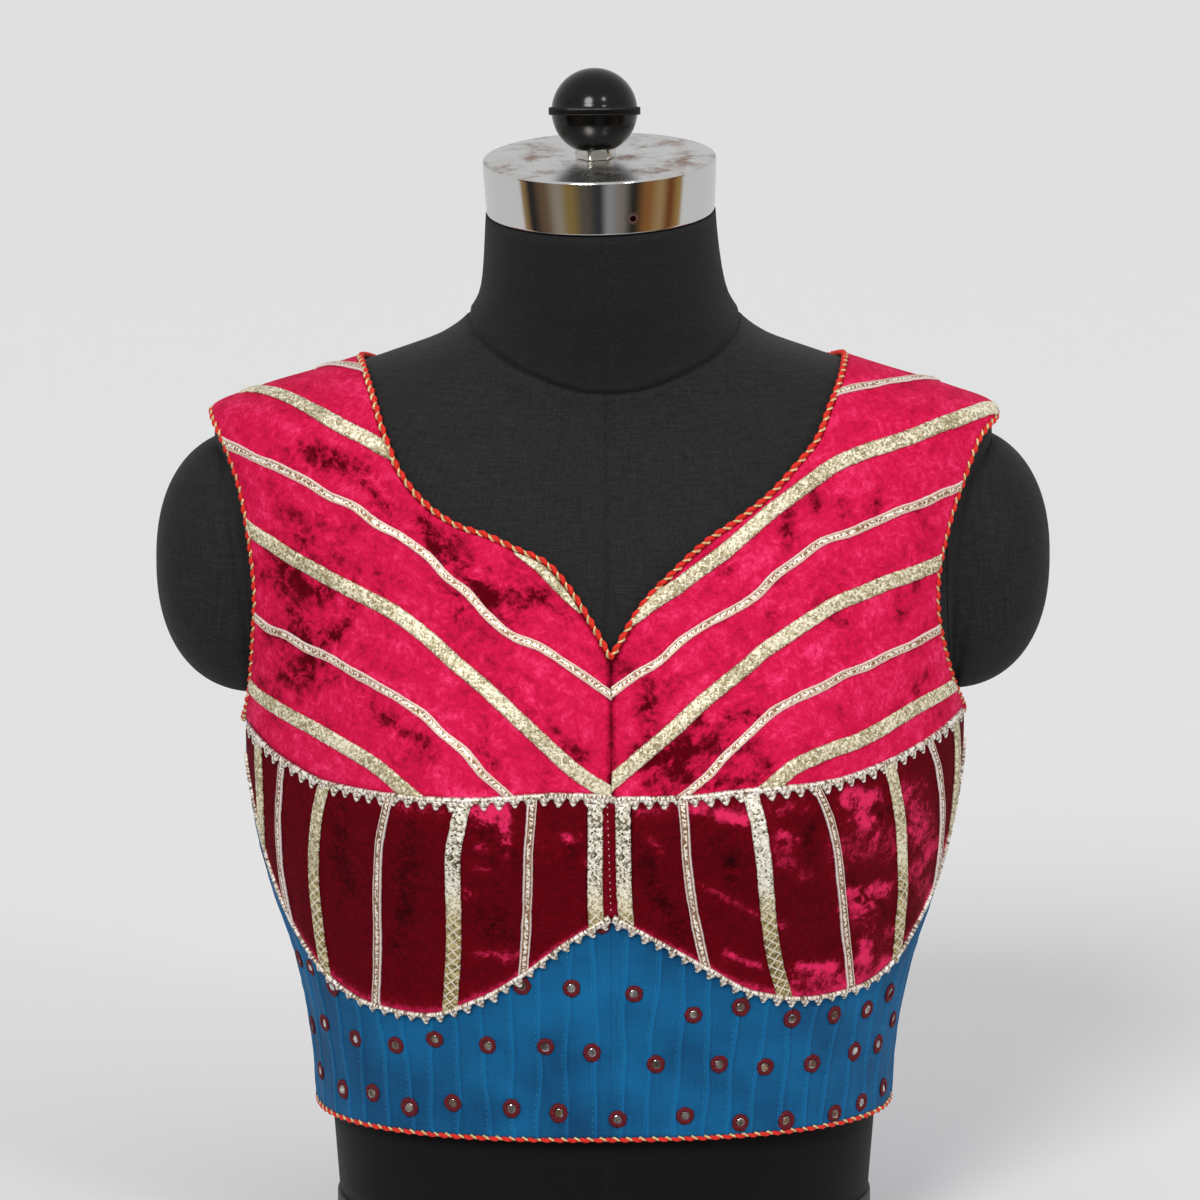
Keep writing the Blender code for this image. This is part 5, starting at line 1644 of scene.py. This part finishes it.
def cotton_panel(name, node_name, side, first, last, top_of, rows):
    """Columns every 0.75 mm along the hem, rows from hem to top edge."""
    ends = np.interp((first, last), HEM_ANGLE, HEM_WALK)
    u = np.linspace(*ends, round((ends[1] - ends[0]) / 0.75) + 1)
    angle = np.interp(u, HEM_WALK, HEM_ANGLE)
    top = top_of(side, angle)
    v = np.linspace(0, 1, rows)[:, None]
    z = (1 - v) * (HEM_Z + 0.6) + v * top
    grid = CLOTH.around(angle * SIDES[side], z)
    width, long, area, uv = stretch(grid)
    height, shade = cotton_height(grid, SIDES[side] * u + 0 * z, z)
    obj = sheet_of(name, CLOTH.lift(grid, COTTON_LIFT + height), uv, COTTON_WALL, CLOTH.normal)
    shaded(obj, shade)
    SHEETS[name] = (dress(obj, "cotton_teal", node_name), width, long, area)


for side in SIDES:
    cotton_panel("cotton_midriff_" + side, "midriff_front_" + side, side,
                 0.0, SIDE_SEAM, front_top, 48)
    cotton_panel("cotton_back_" + side, "back_body_" + side, side,
                 SIDE_SEAM, 180.0, back_top, 34)
print("sheets with the cotton:", len(SHEETS))

# %% [markdown]
# ## Gota ribbons
#
# Twenty-seven ribbons are stitched flat on the velvet. Each is a section
# carried along a path: the path is settled on the cloth, "across" is the
# cross product of the cloth's normal and the path's direction, and the
# section gives a height for each place across. Hand sewing lets them weave a
# little from side to side.

# %% Ribbon routes
# side, width, what the first and the last end run into, points: x without
# sign and z as seen from the front, or x, y, z where it crosses the shoulder
YOKE_GOTA = (
    ("right", "narrow", "neck", "shoulder", (
        (112, -23, 429), (116, -17, 430), (124, -5, 430), (131, 6, 428.5), (137, 13, 426))),
    ("right", "wide", "neck", "shoulder", (
        (104, -60, 398), (117, -54, 404), (136, -41, 412), (155, -16, 417.5),
        (164, -2, 417), (172, 12, 414))),
    ("right", "narrow", "centre", "arm", (
        (0, 288.5), (24, 305), (52, 320), (80, 346), (117, 370), (155, 388), (180, 396))),
    ("right", "wide", "centre", "arm", (
        (0, 242.5), (15, 252), (43, 278), (71, 302), (98, 323), (136, 341), (168, 357))),
    ("right", "narrow", "seam", "arm", (
        (50, 245), (62, 257), (80, 274), (99, 286), (127, 300), (166, 315))),
    ("right", "wide", "seam", "arm", ((93, 243), (108, 254), (136, 267), (169, 280))),
    ("left", "narrow", "neck", "shoulder", (
        (110, -40, 421), (118.6, -34, 422), (127, -28, 422.4), (143, -12, 422.4),
        (154.5, 2, 421), (161, 11, 418.5))),
    ("left", "wide", "neck", "arm", (
        (21, 331), (48, 349), (83, 375), (109, 391), (148, 402), (183, 409))),
    ("left", "narrow", "centre", "arm", (
        (0, 289.5), (23, 305), (42, 319), (61, 329), (80, 343), (99, 355), (130, 365),
        (167, 376))),
    ("left", "wide", "centre", "arm", (
        (0, 248), (23, 268), (51, 292), (80, 313), (108, 328), (157, 342))),
    ("left", "narrow", "seam", "arm", (
        (35, 244), (60, 267), (82, 284), (108, 294), (138, 304), (157, 310))),
    ("left", "wide", "seam", "arm", (
        (72, 246), (88, 257), (118, 265), (148, 276), (167, 281))),
)
# width, angle at the top, halfway and at the lower edge
CUP_GOTA = {
    "right": (
        ("wide", 4.0, 4.0, 3.8), ("narrow", 17.6, 19.0, 21.5),
        ("wide", 29.6, 33.8, 38.6), ("narrow", 43.4, 49.2, 54.7),
        ("wide", 58.0, 62.9, 66.2), ("narrow", 68.3, 71.0, 73.6),
        ("wide", 76.0, 75.8, 78.0),
    ),
    "left": (
        ("wide", 2.8, 3.0, 3.8), ("narrow", 15.9, 17.8, 23.0),
        ("wide", 27.9, 32.8, 41.4), ("narrow", 40.0, 48.2, 56.4),
        ("wide", 56.9, 62.3, 67.7), ("narrow", 67.4, 72.5, 75.6),
        ("wide", 76.6, 77.2, 78.3),
    ),
}
WIDE, NARROW, CUP_NARROW = 7.3, 4.4, 4.7    # mm across
RIBBON_THICK, RIBBON_COLUMNS = 1.3, 11
RIBBON_STEP = {"wide": 0.95, "narrow": 0.77}    # mm from row to row
CUT_REACH = 44.0            # mm from an end in which a line may cut it


# %% A ribbon along a path
def ribbon_section(kind, across, along):
    """Height over the velvet. Wide: a flat band with rolled edges and a
    lattice of ridges 0.12 mm high. Narrow: a cord along each edge, and bars
    0.2 mm high every 2.3 mm between them. across runs from -1 to 1."""
    rolled = RIBBON_THICK - 0.7 * np.abs(across) ** 8
    if kind == "narrow":
        cords = 0.38 * np.exp(-((np.abs(across) - 0.8) / 0.16) ** 2)
        bars = 0.2 * np.cos(np.pi * along / 2.3) ** 2 * (np.abs(across) < 0.62)
        return rolled - 0.25 + cords + bars
    phase = np.pi / LATTICE
    cross = np.maximum(np.abs(np.cos(phase * (along + WIDE / 2 * across))),
                       np.abs(np.cos(phase * (along - WIDE / 2 * across))))
    return rolled + 0.12 * smoothstep(0.93, 1.0, cross)


def run_on(path, extra=16.0):
    """The path carried straight on along the cloth past its last point."""
    way = unit(path[-1] - path[-3])
    more = np.arange(0.6, extra, 0.6)[:, None]
    return np.concatenate([path, CLOTH.settle(path[-1] + way * more)])


def cut_by(columns, s, line):
    """How far along each lengthwise column comes nearest to a line, such as
    the piping that holds the ribbon's end down."""
    gap = np.linalg.norm(columns[:, :, None] - line[None, None], axis=-1).min(-1)
    return s[gap.argmin(0)]


def ribbon(name, path, kind, width, seed, ends=(None, None), sunk=(1, 1), sway=0.35):
    """Carry the section along the path, row by row. A line given for
    an end cuts each lengthwise column where it crosses that line. A sunk end
    dips by 1 mm in its last 3 mm, under the trim that catches it. The width
    is a number, or a function of the share of the length."""
    if ends[0] is not None:
        path = run_on(path[::-1])[::-1]
    if ends[1] is not None:
        path = run_on(path)
    path = CLOTH.settle(spaced(path, round(walked(path)[-1] / 0.3) + 1))
    s = walked(path)
    square = np.cross(CLOTH.normal(path), unit(np.gradient(path, axis=0)))
    v = np.linspace(-1, 1, RIBBON_COLUMNS)
    half = (width(s / s[-1]) if callable(width) else width + 0 * s)[:, None] / 2
    flat = path[:, None] + square[:, None] * (half * v)[..., None]
    start, stop = 0.0 * v, s[-1] + 0 * v
    near, late = s < CUT_REACH, s > s[-1] - CUT_REACH
    if ends[0] is not None:
        start = cut_by(flat[near], s[near], ends[0])
    if ends[1] is not None:
        stop = cut_by(flat[late], s[late], ends[1])
    rows = round((stop - start).max() / RIBBON_STEP[kind]) + 1
    at = start + (stop - start) * np.linspace(0, 1, rows)[:, None]
    middle, square = read_at(path, s, at), read_at(square, s, at)
    half = np.interp(at, s, half[:, 0])
    along = joined(at, 0.0, 0.0)
    ease = smoothstep(0, 18, at - start) * smoothstep(0, 18, stop - at)
    shift = sway * ease * noise(along, 14.0, seed)
    frayed = 1 + 0.05 * noise(joined(at, 9 * v, 0.0), 1.3, seed + 50)
    if kind == "narrow":
        frayed = frayed + 0.1 * noise(along, 9.0, seed + 9)
    grid = CLOTH.settle(middle + square * (shift + half * v * frayed)[..., None])
    dip = sunk[0] * smoothstep(3, 0, at - start) + sunk[1] * smoothstep(3, 0, stop - at)
    face = CLOTH.lift(grid, velvet_height(grid) + ribbon_section(kind, v, at) - dip)
    return sheet_of(name, face, joined(at, half * v) * MM, RIBBON_THICK, CLOTH.normal)


# %% Sew the ribbons on
def yoke_route(side, points):
    """A smooth path through points of the front view or of space, settled."""
    points = np.array(points, float)
    points[:, 0] *= SIDES[side]
    if points.shape[1] == 2:
        points = CLOTH.front(*points.T)
    return curve_through(CLOTH.settle(points))


def stops(side):
    """The lines that cut the ribbons' ends."""
    angle = np.linspace(0.3, 82, 300)
    return {"neck": half_neckline(side), "arm": armhole(side), "shoulder": None,
            "centre": CLOTH.front(SIDES[side] * 0.15, np.linspace(232, 300, 300)),
            "seam": CLOTH.around(angle * SIDES[side], seam_height(side, angle)),
            "hem": CLOTH.around(angle * SIDES[side], cup_edge(side, angle) + 0.5)}


STOPS = {side: stops(side) for side in SIDES}
GOTA_SLOT = {"wide": "gota_gold", "narrow": "gota_rose"}
TRIMS = {}


def sew(panel, label, path, kind, *how, **more):
    """Make a ribbon, dress it and note it as a trim of the panel under it."""
    piece = dress(ribbon("ribbon_" + label, path, kind, *how, **more), GOTA_SLOT[kind],
                  "gota_" + label)
    TRIMS.setdefault(panel, []).append(piece)
    return piece


number = {"right": 0, "left": 0}    # the right side's third comes later
for side, kind, first, last, points in YOKE_GOTA:
    number[side] += 2 if (side, number[side]) == ("right", 2) else 1
    narrow = kind == "narrow"
    sew("velvet_yoke_front_" + side, "yoke_%s_%d" % (side, number[side]),
        yoke_route(side, points), kind, NARROW if narrow else WIDE, 20 + number[side],
        (STOPS[side][first], STOPS[side][last]), (first != "centre", True),
        1.0 if narrow and last == "arm" else 0.3)


# %% The sliver beside the neckline
def sliver(t):
    """Width of the third ribbon on the right: most of it is hidden in the
    neck's binding, and it shows as a lens up to 4.8 mm wide."""
    return 0.6 + 4.2 * np.sin(np.pi * t) ** 0.8


route = STOPS["right"]["neck"]
route = spaced(route[(route[:, 0] < -12) & (route[:, 0] > -45) & (route[:, 1] < 0)], 60)
inward = 1.6 + sliver(np.linspace(0, 1, 60))[:, None] / 2
route = inset(route, CLOTH.front(-60.0, 290.0), inward)
sew("velvet_yoke_front_right", "yoke_right_3", route, "wide", sliver, 23, sway=0.0)

# %% Ribbons down the cups
for side, rows in CUP_GOTA.items():
    for count, (kind, top, middle, foot) in enumerate(rows, 1):
        t = np.linspace(0, 1, 60)
        angle = top * (1 - t) * (1 - 2 * t) + middle * 4 * t * (1 - t) + foot * t * (2 * t - 1)
        high, low = seam_height(side, top), cup_edge(side, foot)
        route = CLOTH.around(angle * SIDES[side], high + (low - high) * t)
        piece = sew("velvet_cup_" + side, "cup_%s_%d" % (side, count), route, kind,
                    WIDE if kind == "wide" else CUP_NARROW, 40 + count,
                    (STOPS[side]["seam"], STOPS[side]["hem"]))
        place = np.zeros(3 * len(piece.data.vertices))
        piece.data.vertices.foreach_get("co", place)
        x, _, z = place.reshape(-1, 3).T / MM
        # painted reflection: wide ribbons silver above 206 mm, old gold from 176 mm down and from 92 to 112 mm out,
        # where they turn away from the light; narrow ones all take 1
        gold = 2 * smoothstep(206, 176, z) + 1.2 * smoothstep(92, 112, np.abs(x))
        shaded(piece, 1 - gold * (kind == "wide"))
print(sum(map(len, TRIMS.values())), "ribbons")

# %% [markdown]
# ## Pointed lace
#
# A metal-thread edging covers the seams: a wound cord with a row of small
# leaf points hanging from it. The cord is a half round carried along the
# seam, with ridges wound round it. A point is a small domed triangle; one
# grid of 7 by 7 points is placed at every tooth by arrays. Along the cups'
# lower edge the cord is half hidden behind the velvet, and only at the peak
# in the middle does it come out whole.

# %% Lace
LACE_BAND, LACE_TOOTH, LACE_PITCH = 1.8, 4.0, 7.2
LACE_GRID = 7               # points across the cord, and each way on a tooth


def lace_path(side, path):
    """The settled path, its direction and the way down along the cloth."""
    path = CLOTH.settle(path)
    along = unit(np.gradient(path, axis=0))
    down = -SIDES[side] * np.cross(CLOTH.normal(path), along)
    return path, along, down


def lace_cord(side, route, lift, tucked):
    """Height lift + sqrt(1 - v^2), with ridges that lean round it every
    1.5 mm, for v from -1 to 1 across. A tucked cord is half as wide, but
    swells within 9 mm of the peak. Gives points, UVs and faces."""
    path, _, down = lace_path(side, spaced(route, round(walked(route)[-1] / 0.5) + 1))
    s = walked(path)[:, None]
    v = np.linspace(-1, 1, LACE_GRID)[None, :]
    peak = np.exp(-(path[:, :1] / 9) ** 2)
    half = LACE_BAND / 2 * (0.5 + 1.1 * peak if tucked else 1.0)
    wobble = 1 + 0.2 * noise(joined(s, 0.0, 0.0), 1.8, 7)
    band = path[:, None] + down[:, None] * (half * v * wobble)[..., None]
    wound = 0.25 * np.sin(2 * np.pi * (s + 0.55 * half * v) / 1.5)
    high = lift + np.sqrt(np.clip(1 - v ** 2, 0, 1)) * (1.0 + wound)
    uv = joined(s, half * v) * MM
    faces = grid_faces(len(path), LACE_GRID)
    faces = faces[:, ::-1] if SIDES[side] > 0 else faces
    return CLOTH.lift(CLOTH.settle(band), high).reshape(-1, 3), uv.reshape(-1, 2), faces


def lace(label, side, route, slot_node, lift, tucked=False):
    """Points of width (1 - w)^0.9 and a little different from each other,
    domed by 0.75 mm and hugging the cloth, under their cord."""
    length = walked(route)[-1]
    count = max(3, round(length / LACE_PITCH))
    rng = np.random.default_rng(len(label) + count)
    place = (np.arange(count) + 0.5) / count
    path, along, down = lace_path(side, sampled(route, place))
    across, w = np.meshgrid(np.linspace(-1, 1, LACE_GRID), np.linspace(0, 0.98, LACE_GRID))
    wide = 0.5 * length / count * 0.8 * (1 - w) ** 0.9
    size = rng.uniform(0.85, 1.12, (count, 1, 1))
    skew = rng.uniform(-0.5, 0.5, (count, 1, 1)) * w ** 2 + 0.35 * w
    x = (across * wide + skew) * size
    drop = (0.0 if tucked else 0.4 * LACE_BAND) + LACE_TOOTH * w * size
    points = (path[:, None, None] + along[:, None, None] * x[..., None]
              + down[:, None, None] * drop[..., None])
    dome = np.sqrt(np.clip(1 - across ** 2, 0, 1)) * (1 - w) ** 0.5
    veins = 0.12 * np.cos(2 * np.pi * across * 1.5) * (1 - w)
    high = lift + 0.75 * dome + veins + 0.3 * w ** 2 * rng.uniform(-1, 1, (count, 1, 1))
    points = CLOTH.lift(CLOTH.settle(points), high).reshape(-1, 3)
    uv = joined(drop, x).reshape(-1, 2) * MM
    faces = grid_faces(LACE_GRID, LACE_GRID)
    faces = faces[:, ::-1] if SIDES[side] < 0 else faces
    faces = (faces + (LACE_GRID ** 2 * np.arange(count))[:, None, None]).reshape(-1, 4)
    cord, cord_uv, cord_faces = lace_cord(side, route, lift + 0.4 * tucked, tucked)
    faces = np.concatenate([cord_faces, faces + len(cord)])
    points, uv = np.concatenate([cord, points]), np.concatenate([cord_uv, uv])
    mesh = as_mesh(label, points, faces, uv)
    return dress(wall(add(label, mesh), 0.7), "lace_silver", slot_node)


for side, sign in SIDES.items():
    # the panel, the lace's name, its node, its angles and heights, lift, tucked
    over, under = np.linspace(0.05, 80.5, 200), np.linspace(0.4, CUP_EDGE[side][-1][0] - 1.2, 500)
    behind = np.linspace(97.0, 179.9, 200)
    for panel, label, node_name, angle, height, lift, tucked in (
            ("cup", "over_seam", "seam", over, seam_height(side, over), 1.0, False),
            ("cup", "under_cup", "cup", under, cup_edge(side, under), 0.1, True),
            ("yoke_back", "over_back", "back", behind, through(BACK_SEAM, behind), 0.9, False)):
        TRIMS.setdefault("velvet_%s_%s" % (panel, side), []).append(
            lace("lace_%s_%s" % (label, side), side, CLOTH.around(angle * sign, height),
                 "lace_%s_%s" % (node_name, side), lift, tucked))
print("lace sewn on")

# %% [markdown]
# ## Twisted piping
#
# The neckline, armholes and hem are bound with a cord of two strands, red
# cotton and gold thread, twisted together. Each strand is a tube whose centre
# goes round the edge's path once every 6.2 mm, half a turn from the other.
# The red one is the fatter, so the gold only peeps out between its turns.

# %% Two strands round a path
TWIST = 6.2
PER_TURN, ROUND = 8, 7      # points along each turn, and round the tube
# red and gold: where in the turn, aside, offset, radius, bulge
STRANDS = ((0.0, 0.3, 0.35, 1.2, 0.2), (np.pi, -0.25, 0.75, 0.75, 0.0))


def piping(label, path, lift, node_name, bare, size=1.0):
    """Strand centre: path + aside b + offset (cos a n + sin a b), with a = 2
    pi s / TWIST, and a tube round it in the same frame, which bulges by cos a
    where the strand lies on top. n is the cloth's normal and b is square to
    it and to the path, on the side of the bare point: the red lies more on
    that side, and the gold more on the cloth's."""
    path = CLOTH.lift(CLOTH.settle(path), lift)
    turns = round(walked(path)[-1] / TWIST)
    count = turns * PER_TURN
    loop = spaced(path, count + 1)[:-1]
    along = unit(np.roll(loop, -1, 0) - np.roll(loop, 1, 0))
    n = CLOTH.normal(loop)
    n = unit(n - (n * along).sum(-1, keepdims=True) * along)
    b = np.cross(along, n)
    way = int(np.sign(((bare - loop) * b).sum()))
    b = b * way
    s = np.arange(count) / count * turns
    points, faces, uvs, kinds = [], [], [], []
    for kind, (phase, aside, offset, radius, bulge) in enumerate(STRANDS):
        a = (2 * np.pi * s + phase)[:, None]
        centre = loop + size * (aside * b + offset * (np.cos(a) * n + np.sin(a) * b))
        radius = size * (radius + bulge * np.cos(a))[..., None]
        t = np.linspace(0, 2 * np.pi, ROUND, endpoint=False)[None, :]
        ring = np.cos(t)[..., None] * n[:, None] + np.sin(t)[..., None] * b[:, None]
        tube = centre[:, None] + radius * ring
        faces.append(grid_faces(count, ROUND, True, True)[:, ::way] + kind * count * ROUND)
        points.append(tube.reshape(-1, 3))
        walk = np.arange(count)[:, None] * walked(path)[-1] / count
        uvs.append(joined(walk, t).reshape(-1, 2) * MM)
        kinds.append(np.full(count * ROUND, kind))
    mesh = as_mesh(label, np.concatenate(points), np.concatenate(faces), np.concatenate(uvs))
    mesh.materials.append(MATERIALS["cord_red"])
    mesh.materials.append(MATERIALS["cord_gold"])
    mesh.polygons.foreach_set("material_index", np.concatenate(kinds))
    return dress(add(label, mesh), "piping_red", node_name)


neck_loop = np.concatenate([half_neckline("right"), half_neckline("left")[::-1][1:]])
neck_cord = piping("piping_round_neck", neck_loop, 0.3, "piping_neck", neck_loop.mean(0))
arm_cords = {side: piping("piping_round_arm_" + side, armhole(side), 0.3, "piping_arm_" + side,
                          armhole(side).mean(0)) for side in SIDES}
hem_cord = piping("piping_round_hem", CLOTH.around(np.linspace(0, 360, 721), HEM_Z), -1.6,
                  "piping_hem", np.array([0.0, 0.0, -999.0]), 0.85)
print("piping: neck, arms and hem")

# %% [markdown]
# ## Mirrors and stitches
#
# Shisha are small round mirrors held on the cloth by a ring of thread. They
# sit in loose rows, a little unevenly, because each is sewn by hand. The
# running stitches of the tucks and of the placket are short bars that thin at
# their ends.
# One small shape is made for each, and arrays carry it to every place.

# %% Where the mirrors are
# angle from the centre front, height
MIRRORS = (
    (-79, 146), (-73, 145), (-66, 139), (-22, 149), (-10, 148), (6, 145),
    (21, 134), (32, 137), (44, 129), (54, 128), (63, 127), (70, 132), (-2.2, 179.2),
    (-81, 112), (-72, 118), (-62, 115), (-52, 115), (-43, 120), (-31, 119),
    (-17, 119), (-5, 116), (12, 110), (28, 109), (39, 106), (50, 105),
    (61, 107), (69, 107), (75, 116),
    (-78, 91), (-68, 87), (-59, 89), (-50, 85), (-40, 89), (-26, 88),
    (-14, 86), (2, 83), (20, 84), (34, 79), (45, 78), (57, 78), (65, 80), (74, 83),
)


def back_mirrors():
    """Eight rows on the back, 21 mm apart, every 11.5 degrees, each moved up
    to 1.2 degrees and 2.5 mm by seeded random numbers."""
    rng = np.random.default_rng(5)
    row, place = np.meshgrid(np.arange(8), np.arange(15), indexing="ij")
    angle = 97 + 11.5 * place + 5.7 * (row % 2) + rng.uniform(-1.2, 1.2, row.shape)
    z = 87 + 21.0 * row + rng.uniform(-2.5, 2.5, row.shape)
    keep = (angle < 264) & (z < 236)
    return joined(angle[keep], z[keep])


spots = np.concatenate([np.array(MIRRORS, float), back_mirrors()])


# %% Frames on the cotton
def cotton_surface(angle, z):
    """Points on the cotton's face, tucks included."""
    on_cloth = CLOTH.around(angle, z)
    turn = (np.asarray(angle) + 180) % 360 - 180
    u = np.sign(turn) * np.interp(np.abs(turn), HEM_ANGLE, HEM_WALK)
    height, _ = cotton_height(on_cloth, u, z)
    return CLOTH.lift(on_cloth, COTTON_LIFT + height), on_cloth


def frames_at(points):
    """Rows of three axes: across, up along the cloth, out of the cloth."""
    out = CLOTH.normal(points)
    across = unit(np.cross((0.0, 0.0, 1.0), out))
    return np.stack([across, np.cross(out, across), out], 1)


def scatter(name, shape, faces, places, frames, uv=None):
    """One mesh of many copies: copy i of point p lies at place i + p times
    frame i. shape may hold one set of points, or one for each copy."""
    shape = np.broadcast_to(shape, (len(places), *shape.shape[-2:]))
    points = places[:, None] + np.einsum("npk,nkj->npj", shape, frames)
    count = shape.shape[1]
    every = faces[None] + count * np.arange(len(places))[:, None, None]
    if uv is not None:
        uv = np.broadcast_to(uv, (len(places), *uv.shape))
    return as_mesh(name, points, every.reshape(-1, faces.shape[1]), uv)


def closed_tube(rows, columns):
    """Quads of a short tube, with a strip of quads across each end; the
    number of columns is even."""
    k = np.arange(columns // 2 - 1)
    end = joined(k, k + 1, columns - 2 - k, columns - 1 - k)
    return np.concatenate([grid_faces(rows, columns, True), end[:, ::-1],
                           end + (rows - 1) * columns])


# %% Rings and glasses
RING_STEPS, RING_ROUND = 24, 6      # points along a ring, and round its thread
GLASS_SIDES = 12
rng = np.random.default_rng(17)
t, s = np.meshgrid(np.linspace(0, 2 * np.pi, RING_STEPS, endpoint=False),
                   np.linspace(0, 2 * np.pi, RING_ROUND, endpoint=False), indexing="ij")
stretch_x = rng.uniform(0.9, 1.05, (len(spots), 1, 1))
stretch_y = rng.uniform(0.93, 1.1, (len(spots), 1, 1))
uneven = 1 + 0.05 * rng.uniform(-1, 1, (len(spots), RING_STEPS, 1))
reach = (3.15 + (1.35 + 0.16 * np.cos(12 * t)) * np.cos(s))[None] * uneven
ring = joined(reach * np.cos(t) * stretch_x, reach * np.sin(t) * stretch_y,
              0.45 + 0.62 * np.sin(s)).reshape(len(spots), -1, 3)
ring_faces = grid_faces(RING_STEPS, RING_ROUND, True, True)[:, [0, 3, 2, 1]]
ring_uv = joined(t * 3.1, s).reshape(-1, 2) * MM
at, under = cotton_surface(spots[:, 0], spots[:, 1])
frames = frames_at(under)
rings = add("mirror_rings", scatter("mirror_rings", ring, ring_faces, at, frames, ring_uv))
dress(rings, "velvet_maroon", finish_name="ring_maroon")
angle = np.linspace(0, 2 * np.pi, GLASS_SIDES, endpoint=False)
edge = rng.uniform(0.92, 1.08, (len(spots), GLASS_SIDES))
tilt = rng.normal(0, 0.09, (len(spots), 2, 1))
reach = np.array([1.5, 2.25, 2.35])[None, :, None] * edge[:, None, :]
x, y = reach * np.cos(angle), reach * np.sin(angle)
z = np.array([0.70, 0.66, 0.1])[None, :, None] + tilt[:, :1] * x + tilt[:, 1:] * y
glass = joined(x, y, z).reshape(len(spots), -1, 3)
glass_faces = closed_tube(3, GLASS_SIDES)[:, ::-1]
glasses = add("mirror_glasses", scatter("mirror_glasses", glass, glass_faces, at, frames))
dress(glasses, "chrome", finish_name="mirror_glass")
print(len(spots), "mirrors")


# %% Running stitches
def bars(name, middles, ahead, length, radius):
    """A stitch is a square bar of three rings: its ends are half as thick as
    its middle and dip into the cloth."""
    out = CLOTH.normal(middles)
    ahead = unit(ahead - (ahead * out).sum(-1, keepdims=True) * out)
    frames = np.stack([np.cross(ahead, out), ahead, out], 1)
    turn = np.pi / 4 + np.arange(4) * np.pi / 2
    thick = np.array([0.5, 1.0, 0.5])[:, None] * radius
    ring = joined(thick * np.cos(turn), np.array([-0.5, 0.0, 0.5])[:, None] * length,
                  thick * np.sin(turn) + np.array([-0.1, 0.1, -0.1])[:, None])
    uv = joined(ring[..., 1], turn * radius).reshape(-1, 2) * MM
    return add(name, scatter(name, ring.reshape(-1, 3), closed_tube(3, 4)[:, ::-1],
                             middles, frames, uv))


def tuck_stitches(side, first, last, top_of):
    """Along each fold, 1.9 mm before it, every 2.7 mm from hem to top."""
    ends = np.interp((first, last), HEM_ANGLE, HEM_WALK)
    u_side = np.sort(SIDES[side] * ends)
    number = np.arange(np.ceil((u_side[0] + 3) / TUCK_PITCH - 0.5),
                       np.floor((u_side[1] - 3) / TUCK_PITCH - 0.5) + 1)
    z = np.arange(HEM_Z + 4, 262, 2.7)
    number, z = np.meshgrid(number, z, indexing="ij")
    z = z + 0.5 * np.sin(3.1 * z + number)
    u = (number + 0.5) * TUCK_PITCH + fold_line(number, z) - 1.9
    angle = np.interp(np.abs(u), HEM_WALK, HEM_ANGLE)
    keep = z < top_of(side, angle) - TOP_UNDERLAP - 1
    return joined((angle * SIDES[side])[keep], z[keep])


rows = [tuck_stitches(side, *span) for side in SIDES
        for span in ((0.0, SIDE_SEAM, front_top), (SIDE_SEAM, 180.0, back_top))]
rows = np.concatenate(rows)
at, _ = cotton_surface(rows[:, 0], rows[:, 1])
above, _ = cotton_surface(rows[:, 0], rows[:, 1] + 1.0)
tuck_thread = bars("stitches_tucks", at, above - at, 1.4, 0.18)
dress(tuck_thread, "cotton_teal", finish_name="stitch_blue")
z = np.arange(187.0, 237.0, 3.3)
line = CLOTH.front(-0.3 - 0.037 * (z - 187), z)
line = CLOTH.lift(line, velvet_height(line))
placket_thread = bars("stitches_placket", line, (0.0, 0.0, 1.0) + 0 * line, 0.9, 0.35)
dress(placket_thread, "velvet_maroon", finish_name="stitch_pale")
print(len(rows), "tuck stitches,", len(z), "placket stitches")

# %% [markdown]
# ## The cloth as cut
#
# Each panel is declared as a sheet with the size it was cut to, and what is
# sewn on it goes with it. The flat sizes come from the grids, measured along
# the cloth with a seam's width added.

ALLOWANCE = 0.001
WITH = dict(TRIMS)
WITH["velvet_yoke_front_right"] += [neck_cord, arm_cords["right"]]
WITH["velvet_yoke_front_left"] += [arm_cords["left"]]
WITH["velvet_placket"] = [placket_thread]
WITH["cotton_midriff_right"] = [hem_cord, rings, glasses, tuck_thread]
for name, (obj, width, long, area) in SHEETS.items():
    flat = (width + ALLOWANCE, long + ALLOWANCE)
    whole = area if area > 0.3 * flat[0] * flat[1] else 0.31 * flat[0] * flat[1]
    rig.sheet(obj, flat=flat, held="stretched" if "velvet" in name else "hung",
             rests_on=[torso], area=min(whole, flat[0] * flat[1]),
             with_pieces=WITH.get(name, []))
    print(name, "cut", np.round(flat, 3), "area", round(area, 4))

# %% Write the boxes and finish
with open("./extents.json", "w") as out:
    json.dump({"cad": [list(map(float, corner)) for corner in cad_box],
               "scene": [list(map(float, corner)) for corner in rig.bounds()]}, out)
